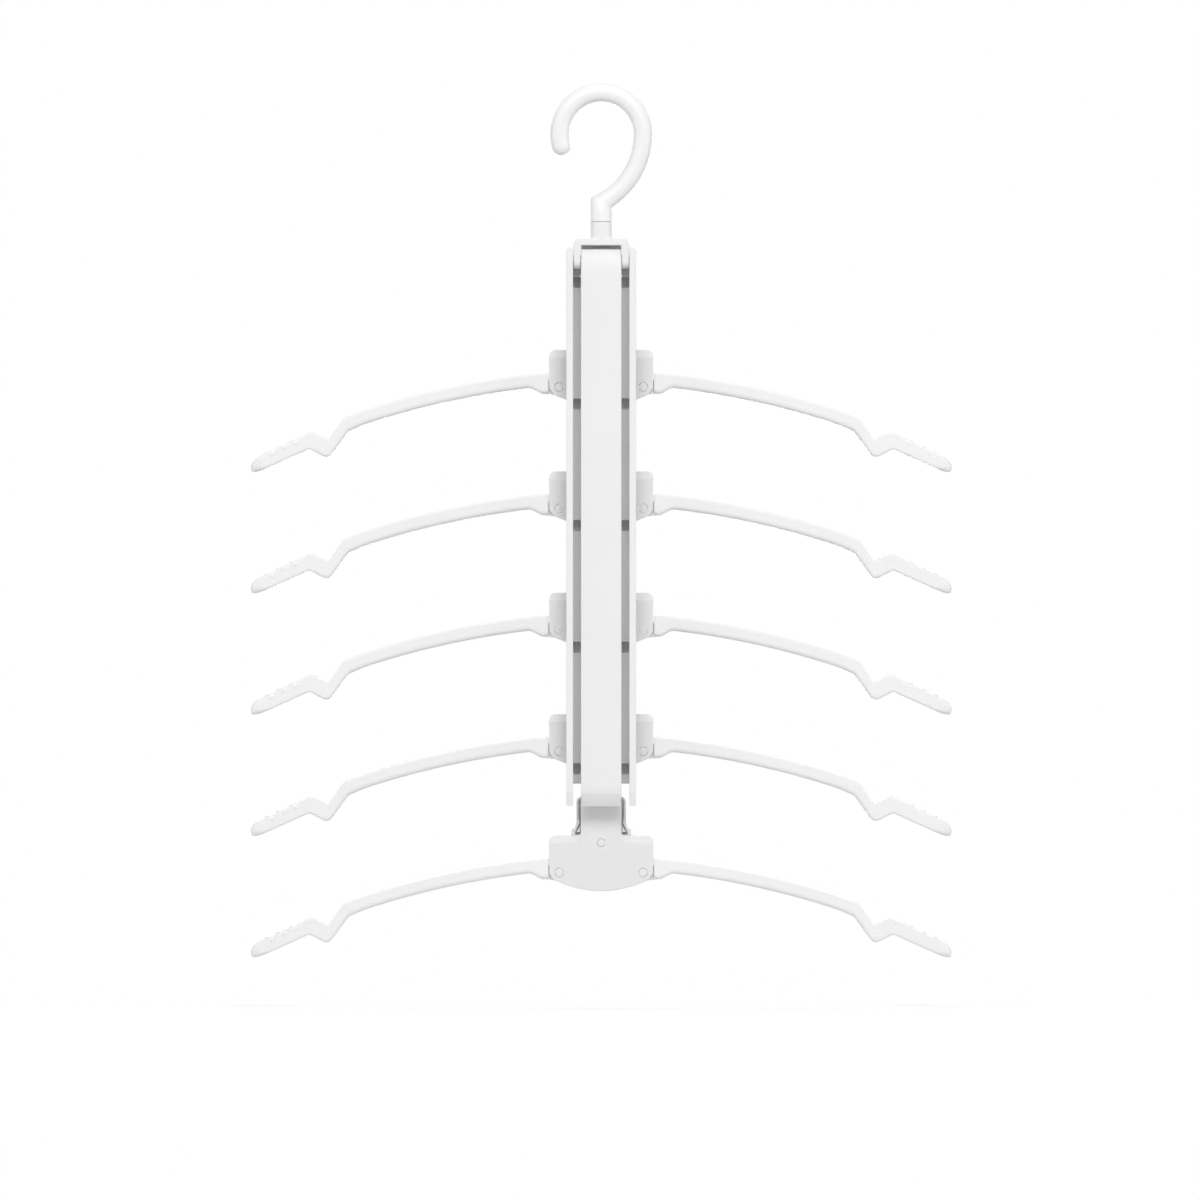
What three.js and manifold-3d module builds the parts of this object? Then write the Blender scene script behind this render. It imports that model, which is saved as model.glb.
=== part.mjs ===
// Five-tier folding clothes hanger in millimetres, +Z up, front towards -Y.
// The origin is the crown inside the hook, where a closet rod bears.
import * as THREE from 'three';
import { mergeVertices } from 'three/addons/utils/BufferGeometryUtils.js';
import Module from 'manifold-3d';

const wasm = await Module();
wasm.setup();

// Clearances
const FIT_GAP = 0.3; // between pieces that are fixed to each other
const RUN_GAP = 0.4; // between pieces that move past each other

// Hook: a round rod bent to a loop, a wider sweep back to the middle, a mitred elbow and a stem
const ROD_D = 10.4;
const LOOP_R = 23.7; // to the rod's centreline
const TIP_ANGLE = 197; // degrees, where the loop ends
const SWEEP_R = 43.8; // to the rod's centreline
const STEM_D = 12;
const HOOK_STEM_L = 11; // stem above the swivel seam
const SPIGOT_D = 6;
const RING_D = 9;
const RING_T = 1.2;
const RING_RECESS = 1.6; // ring above the underside of the yoke's bridge

// Yoke: the stem below the seam and a fork that straddles the front bar
const YOKE_STEM_L = 9.4;
const YOKE_BRIDGE_T = 3.7;
const YOKE_DEPTH = 10;
const YOKE_CHAMFER_W = 1.6;
const YOKE_CHAMFER_H = 3.2;
const PIVOT_DROP = 8.4; // from the underside of the bridge to the tilt axis
const YOKE_PIN_D = 4;

// Column: a channel of two rails and a floor, and a bar standing in it
const COLUMN_L = 317;
const COLUMN_D = 14;
const BAR_W = 23;
const STRIP_W = 4.5; // recess on each side of the bar
const RAIL_W = 3.8;
const RAIL_CORNER_R = 3.4;
const RAIL_FOOT_R = 1.4;
const RAIL_HEEL_H = 8; // front of a rail leans back above its foot
const RAIL_HEEL_D = 2.4;
const FLOOR_T = 2;
const FLOOR_TOP_DROP = 4; // floor starts below the rail tops
const FLOOR_FOOT_RISE = 14.4; // floor ends above the rail feet
const STOP_RISE = 1; // tab of the floor behind the yoke, above the underside of its bridge
const WINDOW_H = 6.5;
const WINDOW_BELOW_PINS = 10.2; // window centre below the arm pins of the tier above
const BAR_TOP_GAP = 2; // bar top below the yoke's bridge
const RAIL_RISE = 0.8; // rail tops above the bar top
const BAR_WALL = 2;
const BAR_CROWN_H = 15;
const BAR_CROWN_D = 4.5;
const BAR_HEEL_H = 5.2;
const BAR_HEEL_D = 4.5;
const BAR_TUCK_H = 8.5;
const BAR_TUCK_D = 1.3;
const BAR_RIB_H = 9; // solid rib round each screw
const NIB_OUT = 0.7; // small catches on the bar's sides, under the yoke's legs
const NIB_H = 1.4;
const NIB_L = 4;
const NIB_DROP = 15.6; // below the bar's top
const SCREW_D = 3;
const SCREW_L = 10.2;
const SCREW_HEAD_D = 6;
const SCREW_HEAD_T = 1.2;
const SCREW_RISE = 10; // above the arm pins of the tier it hides behind

// Tiers: five brackets that swing on pins behind the column
const TIERS = 5;
const FIRST_PIN_DROP = 78.8; // arm pins of the top tier below the rail tops
const LAST_PIN_DROP = 38.6; // arm pins of the lowest tier below the rail feet
const HINGE_BELOW_PINS = 15.8; // swing axis below the arm pins of the tier above
const HINGE_PIN_D = 3.2;
const BARREL_R = 3.4;
const TONGUE_W = 21.4;
const LUG_R = 3.8;
const LUG_WALL = 1.5; // round a window's blind end
const POCKET_D = 4; // how far a window runs behind the floor
const PLATE_T = 2.2;
const PLATE_RISE = 21.2; // plate top above the arm pins
const PLATE_DROP = 10.5; // lowest point below the arm pins
const EAR_HALF_W = 29.65;
const EAR_CORNER_R = 3.7;
const EAR_FOOT_DROP = 3.9;
const EAR_FOOT_IN = 2.3;
const EAR_SIDE_DROP = 0.6;
const EAR_BEVEL_H = 4.8;
const EAR_BEVEL_D = 1.7;
const FRONT_NECK_W = 23.2;
const FRONT_NECK_DROP = 13.4; // neck top below the swing axis
const NECK_FILLET = 2;
const REAR_NECK_W = 28.2;
const REAR_NECK_DROP = 9.9; // neck top below the swing axis
const REAR_NECK_R = 3.4;
const REAR_FLARE_W = 2.9;
const REAR_FLARE_H = 9.4;
const REAR_FLARE_FOOT = 3.4;
const SLIT_W = 2.9; // pockets in the flares beside the front neck
const SLIT_H = 1.6;
const SLIT_D = 3;
const SPACER_DROP = 5;
const RIM_W = 2.2;
const RIM_FOOT_RISE = 8.6; // rim's side walls end above the arm pins
const RIVET_D = 4.4;
const RIVET_RISE = 17.1;

// Arms: root eye, shoulder arc, strap notch and tip paddle
const ARM_REACH = 200; // from the middle to the tip
const PIN_FROM_SIDE = 5.75; // arm pin in from the ear's side
const ARM_PIN_D = 5;
const EYE_R = 4.6;
const EYE_T = 6;
const WEB_H = 8;
const ARM_DEPTH = 7.7;
const ARM_WIDTH = 10.6;
const CROWN_W = 8.6;
const CROWN_EDGE = 0.9;
const BELLY_W = 6.4;
const ROOT_RISE = 4.5; // middle of the arm's depth at the root, above the pin
const ROOT_SLOPE = 5.2; // degrees
const SHOULDER_R = 476;
const GUSSET_H = 4.3;
const GUSSET_L = 12;
const GUSSET_FLAT = 3.2;
const NOTCH_FROM_TIP = 43.6;
const BRINK_FROM_NOTCH = 12.9;
const NOTCH_DROP = 13.3;
const CREST_FROM_NOTCH = 9.2;
const CREST_RISE = 2.2;
const PADDLE_SLOPE = 25; // degrees
const PADDLE_DEPTH = 8.6;
const TIP_ROUND = 4;
const SPRING_T = 0.6;
const SPRING_W = 4;
const SPRING_RISE = 4;

// Places worked out from the dimensions
const loopZ = -(LOOP_R - ROD_D / 2);
const sweepX = LOOP_R - SWEEP_R;
const sweepEnd = Math.acos(-sweepX / SWEEP_R);
const elbowZ = loopZ - SWEEP_R * Math.sin(sweepEnd);
const seamZ = elbowZ - HOOK_STEM_L;
const bridgeTopZ = seamZ - FIT_GAP - YOKE_STEM_L;
const bridgeFootZ = bridgeTopZ - YOKE_BRIDGE_T;
const ringFootZ = bridgeFootZ + RING_RECESS;
const pivotZ = bridgeFootZ - PIVOT_DROP;
const barTopZ = bridgeFootZ - BAR_TOP_GAP;
const railTopZ = barTopZ + RAIL_RISE;
const railFootZ = railTopZ - COLUMN_L;
const tierPitch = (COLUMN_L + LAST_PIN_DROP - FIRST_PIN_DROP) / (TIERS - 1);
const tierZ = Array.from({ length: TIERS }, (_, tier) => railTopZ - FIRST_PIN_DROP - tier * tierPitch);
const hingeRise = tierPitch - HINGE_BELOW_PINS;
const windowRise = tierPitch - WINDOW_BELOW_PINS;
const frontNeckRise = hingeRise - FRONT_NECK_DROP;
const rearNeckRise = hingeRise - REAR_NECK_DROP;
const pinX = EAR_HALF_W - PIN_FROM_SIDE;

const barHalf = BAR_W / 2;
const railInner = barHalf + STRIP_W;
const columnHalf = railInner + RAIL_W;
const columnFront = -(COLUMN_D - FLOOR_T) / 2;
const columnBack = columnFront + COLUMN_D;
const floorFront = columnBack - FLOOR_T;

const pocketBack = columnBack + POCKET_D + LUG_WALL;
const bracketFront = pocketBack + RUN_GAP;
const eyeRoom = EYE_T + 2 * FIT_GAP;
const frontPlateBack = bracketFront + PLATE_T;
const rearPlateFront = frontPlateBack + eyeRoom;
const bracketBack = rearPlateFront + PLATE_T;
const armY = (frontPlateBack + rearPlateFront) / 2;
const rearNeckFront = frontPlateBack + FIT_GAP;
const hingeY = bracketFront + BARREL_R;
const rearNeckBack = hingeY + BARREL_R;
const tongueHalf = TONGUE_W / 2;
const lugInner = tongueHalf + RUN_GAP;
const lugOuter = railInner + LUG_WALL;

const ROUND = 12; // facets round a pin or bore
const SMOOTH = 4; // steps along a corner or curve
const OVERLAP = 0.2; // how far joined solids run into each other

// Materials
const plastic = (colour, roughness) =>
  new THREE.MeshStandardMaterial({ color: colour, roughness, metalness: 0 });
const shellWhite = plastic(0xf0f0f0, 0.5);
const armWhite = plastic(0xf4f4f4, 0.42);
const hookWhite = plastic(0xf3f3f3, 0.4);
const steel = new THREE.MeshStandardMaterial({ color: 0xb8babd, roughness: 0.35, metalness: 1 });

// A closed geometry as a solid that can be joined and cut
function solid(geometry) {
  const bare = new THREE.BufferGeometry();
  bare.setAttribute('position', geometry.getAttribute('position'));
  bare.setIndex(geometry.index);
  const merged = mergeVertices(bare, 1e-4);
  const corners = merged.index.array;
  const triangles = [];
  for (let i = 0; i < corners.length; i += 3) {
    const [a, b, c] = [corners[i], corners[i + 1], corners[i + 2]];
    if (a !== b && b !== c && c !== a) triangles.push(a, b, c);
  }
  return new wasm.Manifold(new wasm.Mesh({
    numProp: 3,
    vertProperties: new Float32Array(merged.attributes.position.array),
    triVerts: new Uint32Array(triangles),
  }));
}

function geometryOf(body) {
  const mesh = body.getMesh();
  const geometry = new THREE.BufferGeometry();
  geometry.setAttribute('position', new THREE.BufferAttribute(mesh.vertProperties, 3));
  geometry.setIndex(new THREE.BufferAttribute(mesh.triVerts, 1));
  geometry.computeVertexNormals();
  return geometry;
}

const join = (...bodies) => bodies.reduce((sum, body) => sum.add(body));
const cut = (body, ...tools) => tools.reduce((rest, tool) => rest.subtract(tool), body);

// An outline drawn in X and Z, carried from y0 to y1
function slab(outline, y0, y1) {
  const geometry = new THREE.ExtrudeGeometry(outline, {
    depth: y1 - y0,
    bevelEnabled: false,
    curveSegments: SMOOTH,
  });
  const turn = new THREE.Matrix4().makeBasis(
    new THREE.Vector3(1, 0, 0),
    new THREE.Vector3(0, 0, 1),
    new THREE.Vector3(0, -1, 0),
  );
  return solid(geometry.applyMatrix4(turn).translate(0, y1, 0));
}

// An outline drawn in Y and Z, carried from x0 to x1
function beam(outline, x0, x1) {
  const geometry = new THREE.ExtrudeGeometry(outline, {
    depth: x1 - x0,
    bevelEnabled: false,
    curveSegments: SMOOTH,
  });
  const turn = new THREE.Matrix4().makeBasis(
    new THREE.Vector3(0, 1, 0),
    new THREE.Vector3(0, 0, 1),
    new THREE.Vector3(1, 0, 0),
  );
  return solid(geometry.applyMatrix4(turn).translate(x0, 0, 0));
}

function block(x0, x1, y0, y1, z0, z1) {
  const geometry = new THREE.BoxGeometry(x1 - x0, y1 - y0, z1 - z0);
  return solid(geometry.translate((x0 + x1) / 2, (y0 + y1) / 2, (z0 + z1) / 2));
}

// A round bar along one axis, centred on the other two
function rodX(radius, x0, x1, y, z) {
  const geometry = new THREE.CylinderGeometry(radius, radius, x1 - x0, ROUND);
  return solid(geometry.rotateZ(Math.PI / 2).translate((x0 + x1) / 2, y, z));
}

function rodY(radius, y0, y1, x, z) {
  const geometry = new THREE.CylinderGeometry(radius, radius, y1 - y0, ROUND);
  return solid(geometry.translate(x, (y0 + y1) / 2, z));
}

function rodZ(radius, z0, z1) {
  const geometry = new THREE.CylinderGeometry(radius, radius, z1 - z0, ROUND);
  return solid(geometry.rotateX(Math.PI / 2).translate(0, 0, (z0 + z1) / 2));
}

function polygon(points) {
  return new THREE.Shape(points.map(([x, y]) => new THREE.Vector2(x, y)));
}

// Rings of equal count, skinned in order and closed by a fan at each end
function skin(rings) {
  const count = rings[0].length;
  const positions = rings.flat().flatMap((point) => [point.x, point.y, point.z]);
  const triangles = [];
  for (let ring = 0; ring + 1 < rings.length; ring += 1) {
    for (let side = 0; side < count; side += 1) {
      const next = (side + 1) % count;
      const [a, b] = [ring * count + side, ring * count + next];
      triangles.push(a, b, b + count, a, b + count, a + count);
    }
  }
  const last = (rings.length - 1) * count;
  for (let side = 1; side + 1 < count; side += 1) {
    triangles.push(0, side + 1, side);
    triangles.push(last, last + side, last + side + 1);
  }
  const geometry = new THREE.BufferGeometry();
  geometry.setAttribute('position', new THREE.Float32BufferAttribute(positions, 3));
  geometry.setIndex(triangles);
  return solid(geometry);
}

// The same solid on the other side of the middle plane
function mirrored(geometry) {
  const copy = geometry.clone().scale(-1, 1, 1);
  const corners = copy.index.array;
  for (let i = 0; i < corners.length; i += 3) {
    [corners[i + 1], corners[i + 2]] = [corners[i + 2], corners[i + 1]];
  }
  copy.computeVertexNormals();
  return copy;
}

// Hook: rings round the rod's centreline in the plane Y = 0
function rodRing(x, z, heading, radius, miterNormal = null) {
  const along = new THREE.Vector3(Math.cos(heading), 0, Math.sin(heading));
  const across = new THREE.Vector3(Math.sin(heading), 0, -Math.cos(heading));
  const ring = [];
  for (let i = 0; i < ROUND; i += 1) {
    const turn = (2 * Math.PI * i) / ROUND;
    const offset = across.clone().multiplyScalar(radius * Math.cos(turn));
    offset.y = radius * Math.sin(turn);
    if (miterNormal) offset.addScaledVector(along, -offset.dot(miterNormal) / along.dot(miterNormal));
    ring.push(offset.add(new THREE.Vector3(x, 0, z)));
  }
  return ring;
}

function makeHook() {
  const rodR = ROD_D / 2;
  const quarter = Math.PI / 2;
  const tip = THREE.MathUtils.degToRad(TIP_ANGLE);
  const rings = [];
  const tipSteps = 3;
  for (let i = 0; i < tipSteps; i += 1) {
    const lift = quarter * (1 - (i + 0.35) / tipSteps);
    const back = rodR * Math.sin(lift);
    const x = LOOP_R * Math.cos(tip) + back * -Math.sin(tip);
    const z = loopZ + LOOP_R * Math.sin(tip) + back * Math.cos(tip);
    rings.push(rodRing(x, z, tip - quarter, rodR * Math.cos(lift)));
  }
  const loopSteps = 14;
  for (let i = 0; i <= loopSteps; i += 1) {
    const turn = tip * (1 - i / loopSteps);
    const x = LOOP_R * Math.cos(turn);
    const z = loopZ + LOOP_R * Math.sin(turn);
    rings.push(rodRing(x, z, turn - quarter, rodR));
  }
  const sweepSteps = 6;
  for (let i = 1; i < sweepSteps; i += 1) {
    const turn = (-sweepEnd * i) / sweepSteps;
    const x = sweepX + SWEEP_R * Math.cos(turn);
    const z = loopZ + SWEEP_R * Math.sin(turn);
    rings.push(rodRing(x, z, turn - quarter, rodR));
  }
  const arrive = -sweepEnd - quarter;
  const down = -quarter;
  const bisector = new THREE.Vector3(Math.cos(arrive), 0, Math.sin(arrive) - 1).normalize();
  rings.push(rodRing(0, elbowZ, arrive, rodR, bisector));
  rings.push(rodRing(0, elbowZ, down, STEM_D / 2, bisector));
  rings.push(rodRing(0, seamZ, down, STEM_D / 2));
  rings.push(rodRing(0, seamZ, down, SPIGOT_D / 2));
  rings.push(rodRing(0, ringFootZ, down, SPIGOT_D / 2));
  return skin(rings);
}

function makeSwivelRing() {
  const hole = rodZ(SPIGOT_D / 2 + FIT_GAP, ringFootZ - OVERLAP, ringFootZ + RING_T + OVERLAP);
  return cut(rodZ(RING_D / 2, ringFootZ, ringFootZ + RING_T), hole);
}

// Yoke: a fork seen from the front, rounded at its feet seen from the side
function makeYoke() {
  const outer = railInner - FIT_GAP;
  const inner = barHalf + FIT_GAP;
  const footZ = pivotZ - YOKE_DEPTH / 2;
  const front = polygon([
    [-outer, footZ],
    [-inner, footZ],
    [-inner, bridgeFootZ],
    [inner, bridgeFootZ],
    [inner, footZ],
    [outer, footZ],
    [outer, bridgeTopZ - YOKE_CHAMFER_H],
    [outer - YOKE_CHAMFER_W, bridgeTopZ],
    [-outer + YOKE_CHAMFER_W, bridgeTopZ],
    [-outer, bridgeTopZ - YOKE_CHAMFER_H],
  ]);
  const side = new THREE.Shape();
  side.moveTo(YOKE_DEPTH / 2, bridgeTopZ);
  side.lineTo(-YOKE_DEPTH / 2, bridgeTopZ);
  side.lineTo(-YOKE_DEPTH / 2, pivotZ);
  side.absarc(0, pivotZ, YOKE_DEPTH / 2, Math.PI, 2 * Math.PI, false);
  const fork = slab(front, -YOKE_DEPTH, YOKE_DEPTH).intersect(beam(side, -outer, outer));
  const stem = rodZ(STEM_D / 2, bridgeTopZ - OVERLAP, seamZ - FIT_GAP);
  return cut(
    join(fork, stem),
    rodZ(SPIGOT_D / 2 + RUN_GAP, bridgeFootZ - OVERLAP, seamZ),
    rodZ(RING_D / 2 + RUN_GAP, bridgeFootZ - OVERLAP, ringFootZ + RING_T + RUN_GAP),
    rodX(YOKE_PIN_D / 2 + RUN_GAP, -outer - OVERLAP, outer + OVERLAP, 0, pivotZ),
  );
}

function makeYokePin() {
  return rodX(YOKE_PIN_D / 2, -columnHalf + FIT_GAP, columnHalf - FIT_GAP, 0, pivotZ);
}

// Column channel: rails drawn from the front, floor with windows, lugs for the swing pins
function makeRail(side) {
  const outline = new THREE.Shape();
  outline.moveTo(railInner, railFootZ);
  outline.lineTo(columnHalf - RAIL_FOOT_R, railFootZ);
  outline.absarc(columnHalf - RAIL_FOOT_R, railFootZ + RAIL_FOOT_R, RAIL_FOOT_R, -Math.PI / 2, 0, false);
  outline.lineTo(columnHalf, railTopZ - RAIL_CORNER_R);
  outline.absarc(columnHalf - RAIL_CORNER_R, railTopZ - RAIL_CORNER_R, RAIL_CORNER_R, 0, Math.PI / 2, false);
  outline.lineTo(railInner, railTopZ);
  const heel = polygon([
    [columnFront - OVERLAP, railFootZ + RAIL_HEEL_H],
    [columnFront, railFootZ + RAIL_HEEL_H],
    [columnFront + RAIL_HEEL_D, railFootZ],
    [columnFront + RAIL_HEEL_D, railFootZ - OVERLAP],
    [columnFront - OVERLAP, railFootZ - OVERLAP],
  ]);
  const rail = cut(
    slab(outline, columnFront, columnBack),
    beam(heel, railInner - OVERLAP, columnHalf + OVERLAP),
  );
  return side > 0 ? rail : solid(mirrored(geometryOf(rail)));
}

// How far a bracket plate reaches below its arm pins at a distance from the middle
function bowDrop(x) {
  const footX = EAR_HALF_W - EAR_FOOT_IN;
  const bow = PLATE_DROP - EAR_FOOT_DROP;
  return PLATE_DROP - bow * (x / footX) ** 2;
}

// A lug holds one end of a swing pin below the next plate, and closes a window from behind in front of it
function makeLug(side, tier) {
  const hingeZ = tierZ[tier] + hingeRise;
  const windowTopZ = tierZ[tier] + windowRise + WINDOW_H / 2;
  const plateFootZ = tierZ[tier] + tierPitch - bowDrop(lugInner);
  const eyeTopZ = plateFootZ - 2 * RUN_GAP;
  const lugBack = hingeY + LUG_R;
  const outline = polygon([
    [columnBack - OVERLAP, hingeZ - LUG_R],
    [hingeY, hingeZ - LUG_R],
    [lugBack, hingeZ],
    [lugBack, eyeTopZ],
    [pocketBack, eyeTopZ],
    [pocketBack, windowTopZ + LUG_WALL],
    [columnBack - OVERLAP, windowTopZ + LUG_WALL],
  ]);
  return side > 0 ? beam(outline, lugInner, lugOuter) : beam(outline, -lugOuter, -lugInner);
}

const screwZ = tierZ.slice(0, -1).map((z) => z + SCREW_RISE);
const screwBack = columnBack - FIT_GAP;

function makeColumnChannel() {
  const floorTopZ = railTopZ - FLOOR_TOP_DROP;
  const floorFootZ = railFootZ + FLOOR_FOOT_RISE;
  const reach = railInner + OVERLAP;
  let channel = join(
    makeRail(1),
    makeRail(-1),
    block(-reach, reach, floorFront, columnBack, floorFootZ, floorTopZ),
    block(-barHalf, barHalf, floorFront, columnBack, floorTopZ - OVERLAP, bridgeFootZ + STOP_RISE),
  );
  for (let tier = 0; tier < TIERS; tier += 1) {
    const windowZ = tierZ[tier] + windowRise;
    const hingeZ = tierZ[tier] + hingeRise;
    for (const side of [-1, 1]) {
      const [x0, x1] = side > 0 ? [barHalf, railInner] : [-railInner, -barHalf];
      const opening = block(
        x0, x1,
        floorFront - OVERLAP, columnBack + POCKET_D,
        windowZ - WINDOW_H / 2, windowZ + WINDOW_H / 2,
      );
      channel = cut(join(channel, makeLug(side, tier)), opening);
    }
    const pinEnd = lugOuter + OVERLAP;
    channel = cut(channel, rodX(HINGE_PIN_D / 2 + FIT_GAP, -pinEnd, pinEnd, hingeY, hingeZ));
  }
  for (const z of screwZ) {
    channel = cut(
      channel,
      rodY(SCREW_D / 2 + FIT_GAP, floorFront - OVERLAP, columnBack, 0, z),
      rodY(SCREW_HEAD_D / 2 + FIT_GAP, screwBack - SCREW_HEAD_T - FIT_GAP, columnBack + OVERLAP, 0, z),
    );
  }
  return cut(channel, rodX(YOKE_PIN_D / 2 + FIT_GAP, -columnHalf - OVERLAP, columnHalf + OVERLAP, 0, pivotZ));
}

// Front bar: drawn from the side with a rounded crown and a heel tucked under, hollow from behind
function makeFrontBar() {
  const back = floorFront - FIT_GAP;
  const footZ = railFootZ - FIT_GAP;
  const heelZ = footZ + BAR_HEEL_H;
  const crownZ = barTopZ - BAR_CROWN_H;
  const outline = new THREE.Shape();
  outline.moveTo(back, barTopZ);
  outline.lineTo(columnFront + BAR_CROWN_D, barTopZ);
  outline.absellipse(
    columnFront + BAR_CROWN_D, crownZ,
    BAR_CROWN_D, BAR_CROWN_H,
    Math.PI / 2, Math.PI, false, 0,
  );
  outline.lineTo(columnFront, heelZ + BAR_TUCK_H);
  outline.quadraticCurveTo(columnFront, heelZ + BAR_TUCK_H / 2, columnFront + BAR_TUCK_D, heelZ);
  outline.lineTo(columnFront + BAR_TUCK_D + BAR_HEEL_D, footZ);
  outline.lineTo(back, footZ);
  const nibZ = barTopZ - NIB_DROP;
  const nibRoot = barHalf - OVERLAP;
  const nib = slab(
    polygon([[nibRoot, nibZ - NIB_H / 2], [barHalf + NIB_OUT, nibZ], [nibRoot, nibZ + NIB_H / 2]]),
    columnFront + BAR_WALL, columnFront + BAR_WALL + NIB_L,
  );
  let bar = join(beam(outline, -barHalf, barHalf), nib, solid(mirrored(geometryOf(nib))));
  const ribs = [pivotZ - YOKE_DEPTH / 2, ...screwZ, heelZ];
  for (let i = 0; i + 1 < ribs.length; i += 1) {
    const topZ = ribs[i] - BAR_RIB_H / 2;
    const lowZ = ribs[i + 1] + BAR_RIB_H / 2;
    bar = cut(bar, block(
      -barHalf + BAR_WALL, barHalf - BAR_WALL,
      columnFront + BAR_WALL, back + OVERLAP,
      lowZ, topZ,
    ));
  }
  const screwTip = screwBack - SCREW_L - FIT_GAP;
  for (const z of screwZ) {
    bar = cut(bar, rodY(SCREW_D / 2 + FIT_GAP, screwTip, back + OVERLAP, 0, z));
  }
  return cut(bar, rodX(YOKE_PIN_D / 2 + FIT_GAP, -barHalf - OVERLAP, barHalf + OVERLAP, 0, pivotZ));
}

function makeBarScrew(z) {
  return join(
    rodY(SCREW_HEAD_D / 2, screwBack - SCREW_HEAD_T, screwBack, 0, z),
    rodY(SCREW_D / 2, screwBack - SCREW_L, screwBack - OVERLAP, 0, z),
  );
}

// Bracket pieces, drawn with the arm pins at Z = 0
function roundHole(x, z, radius) {
  const hole = new THREE.Path();
  hole.absellipse(x, z, radius, radius, 0, 2 * Math.PI, false, 0);
  return hole;
}

const pinHoles = () => [-pinX, pinX].map((x) => roundHole(x, 0, ARM_PIN_D / 2 + FIT_GAP));
const rivetHole = () => roundHole(0, RIVET_RISE, RIVET_D / 2 + FIT_GAP);

// The lower half of a plate: both ears and the shallow bow between them, from left to right
function traceEars(outline) {
  const footX = EAR_HALF_W - EAR_FOOT_IN;
  outline.moveTo(-EAR_HALF_W + EAR_CORNER_R, PLATE_RISE);
  outline.absarc(
    -EAR_HALF_W + EAR_CORNER_R, PLATE_RISE - EAR_CORNER_R,
    EAR_CORNER_R,
    Math.PI / 2, Math.PI, false,
  );
  outline.lineTo(-EAR_HALF_W, -EAR_SIDE_DROP);
  outline.lineTo(-footX, -EAR_FOOT_DROP);
  outline.quadraticCurveTo(0, EAR_FOOT_DROP - 2 * PLATE_DROP, footX, -EAR_FOOT_DROP);
  outline.lineTo(EAR_HALF_W, -EAR_SIDE_DROP);
  outline.lineTo(EAR_HALF_W, PLATE_RISE - EAR_CORNER_R);
  outline.absarc(
    EAR_HALF_W - EAR_CORNER_R, PLATE_RISE - EAR_CORNER_R,
    EAR_CORNER_R,
    0, Math.PI / 2, false,
  );
}

function makeBracketFront() {
  const half = FRONT_NECK_W / 2;
  const outline = new THREE.Shape();
  traceEars(outline);
  outline.lineTo(half + NECK_FILLET, PLATE_RISE);
  outline.quadraticCurveTo(half, PLATE_RISE, half, PLATE_RISE + NECK_FILLET);
  outline.lineTo(half, frontNeckRise);
  outline.lineTo(-half, frontNeckRise);
  outline.lineTo(-half, PLATE_RISE + NECK_FILLET);
  outline.quadraticCurveTo(-half, PLATE_RISE, -half - NECK_FILLET, PLATE_RISE);
  outline.holes.push(...pinHoles(), rivetHole());
  const bevel = polygon([
    [bracketFront - OVERLAP, PLATE_RISE - EAR_BEVEL_H],
    [bracketFront, PLATE_RISE - EAR_BEVEL_H],
    [bracketFront + EAR_BEVEL_D, PLATE_RISE],
    [bracketFront + EAR_BEVEL_D, PLATE_RISE + OVERLAP],
    [bracketFront - OVERLAP, PLATE_RISE + OVERLAP],
  ]);
  const near = half + NECK_FILLET;
  const far = EAR_HALF_W + OVERLAP;
  return cut(
    slab(outline, bracketFront, frontPlateBack),
    beam(bevel, near, far),
    beam(bevel, -far, -near),
  );
}

// The rim closes the top of an ear and its side above the arm
function makeRim(side) {
  const inner = EAR_HALF_W - RIM_W;
  const outline = new THREE.Shape();
  outline.moveTo(REAR_NECK_W / 2 - OVERLAP, PLATE_RISE - RIM_W);
  outline.lineTo(inner, PLATE_RISE - RIM_W);
  outline.lineTo(inner, RIM_FOOT_RISE);
  outline.lineTo(EAR_HALF_W, RIM_FOOT_RISE);
  outline.lineTo(EAR_HALF_W, PLATE_RISE - EAR_CORNER_R);
  outline.absarc(
    EAR_HALF_W - EAR_CORNER_R, PLATE_RISE - EAR_CORNER_R,
    EAR_CORNER_R,
    0, Math.PI / 2, false,
  );
  outline.lineTo(REAR_NECK_W / 2 - OVERLAP, PLATE_RISE);
  const rim = slab(outline, rearNeckFront, rearPlateFront + OVERLAP);
  return side > 0 ? rim : solid(mirrored(geometryOf(rim)));
}

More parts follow.
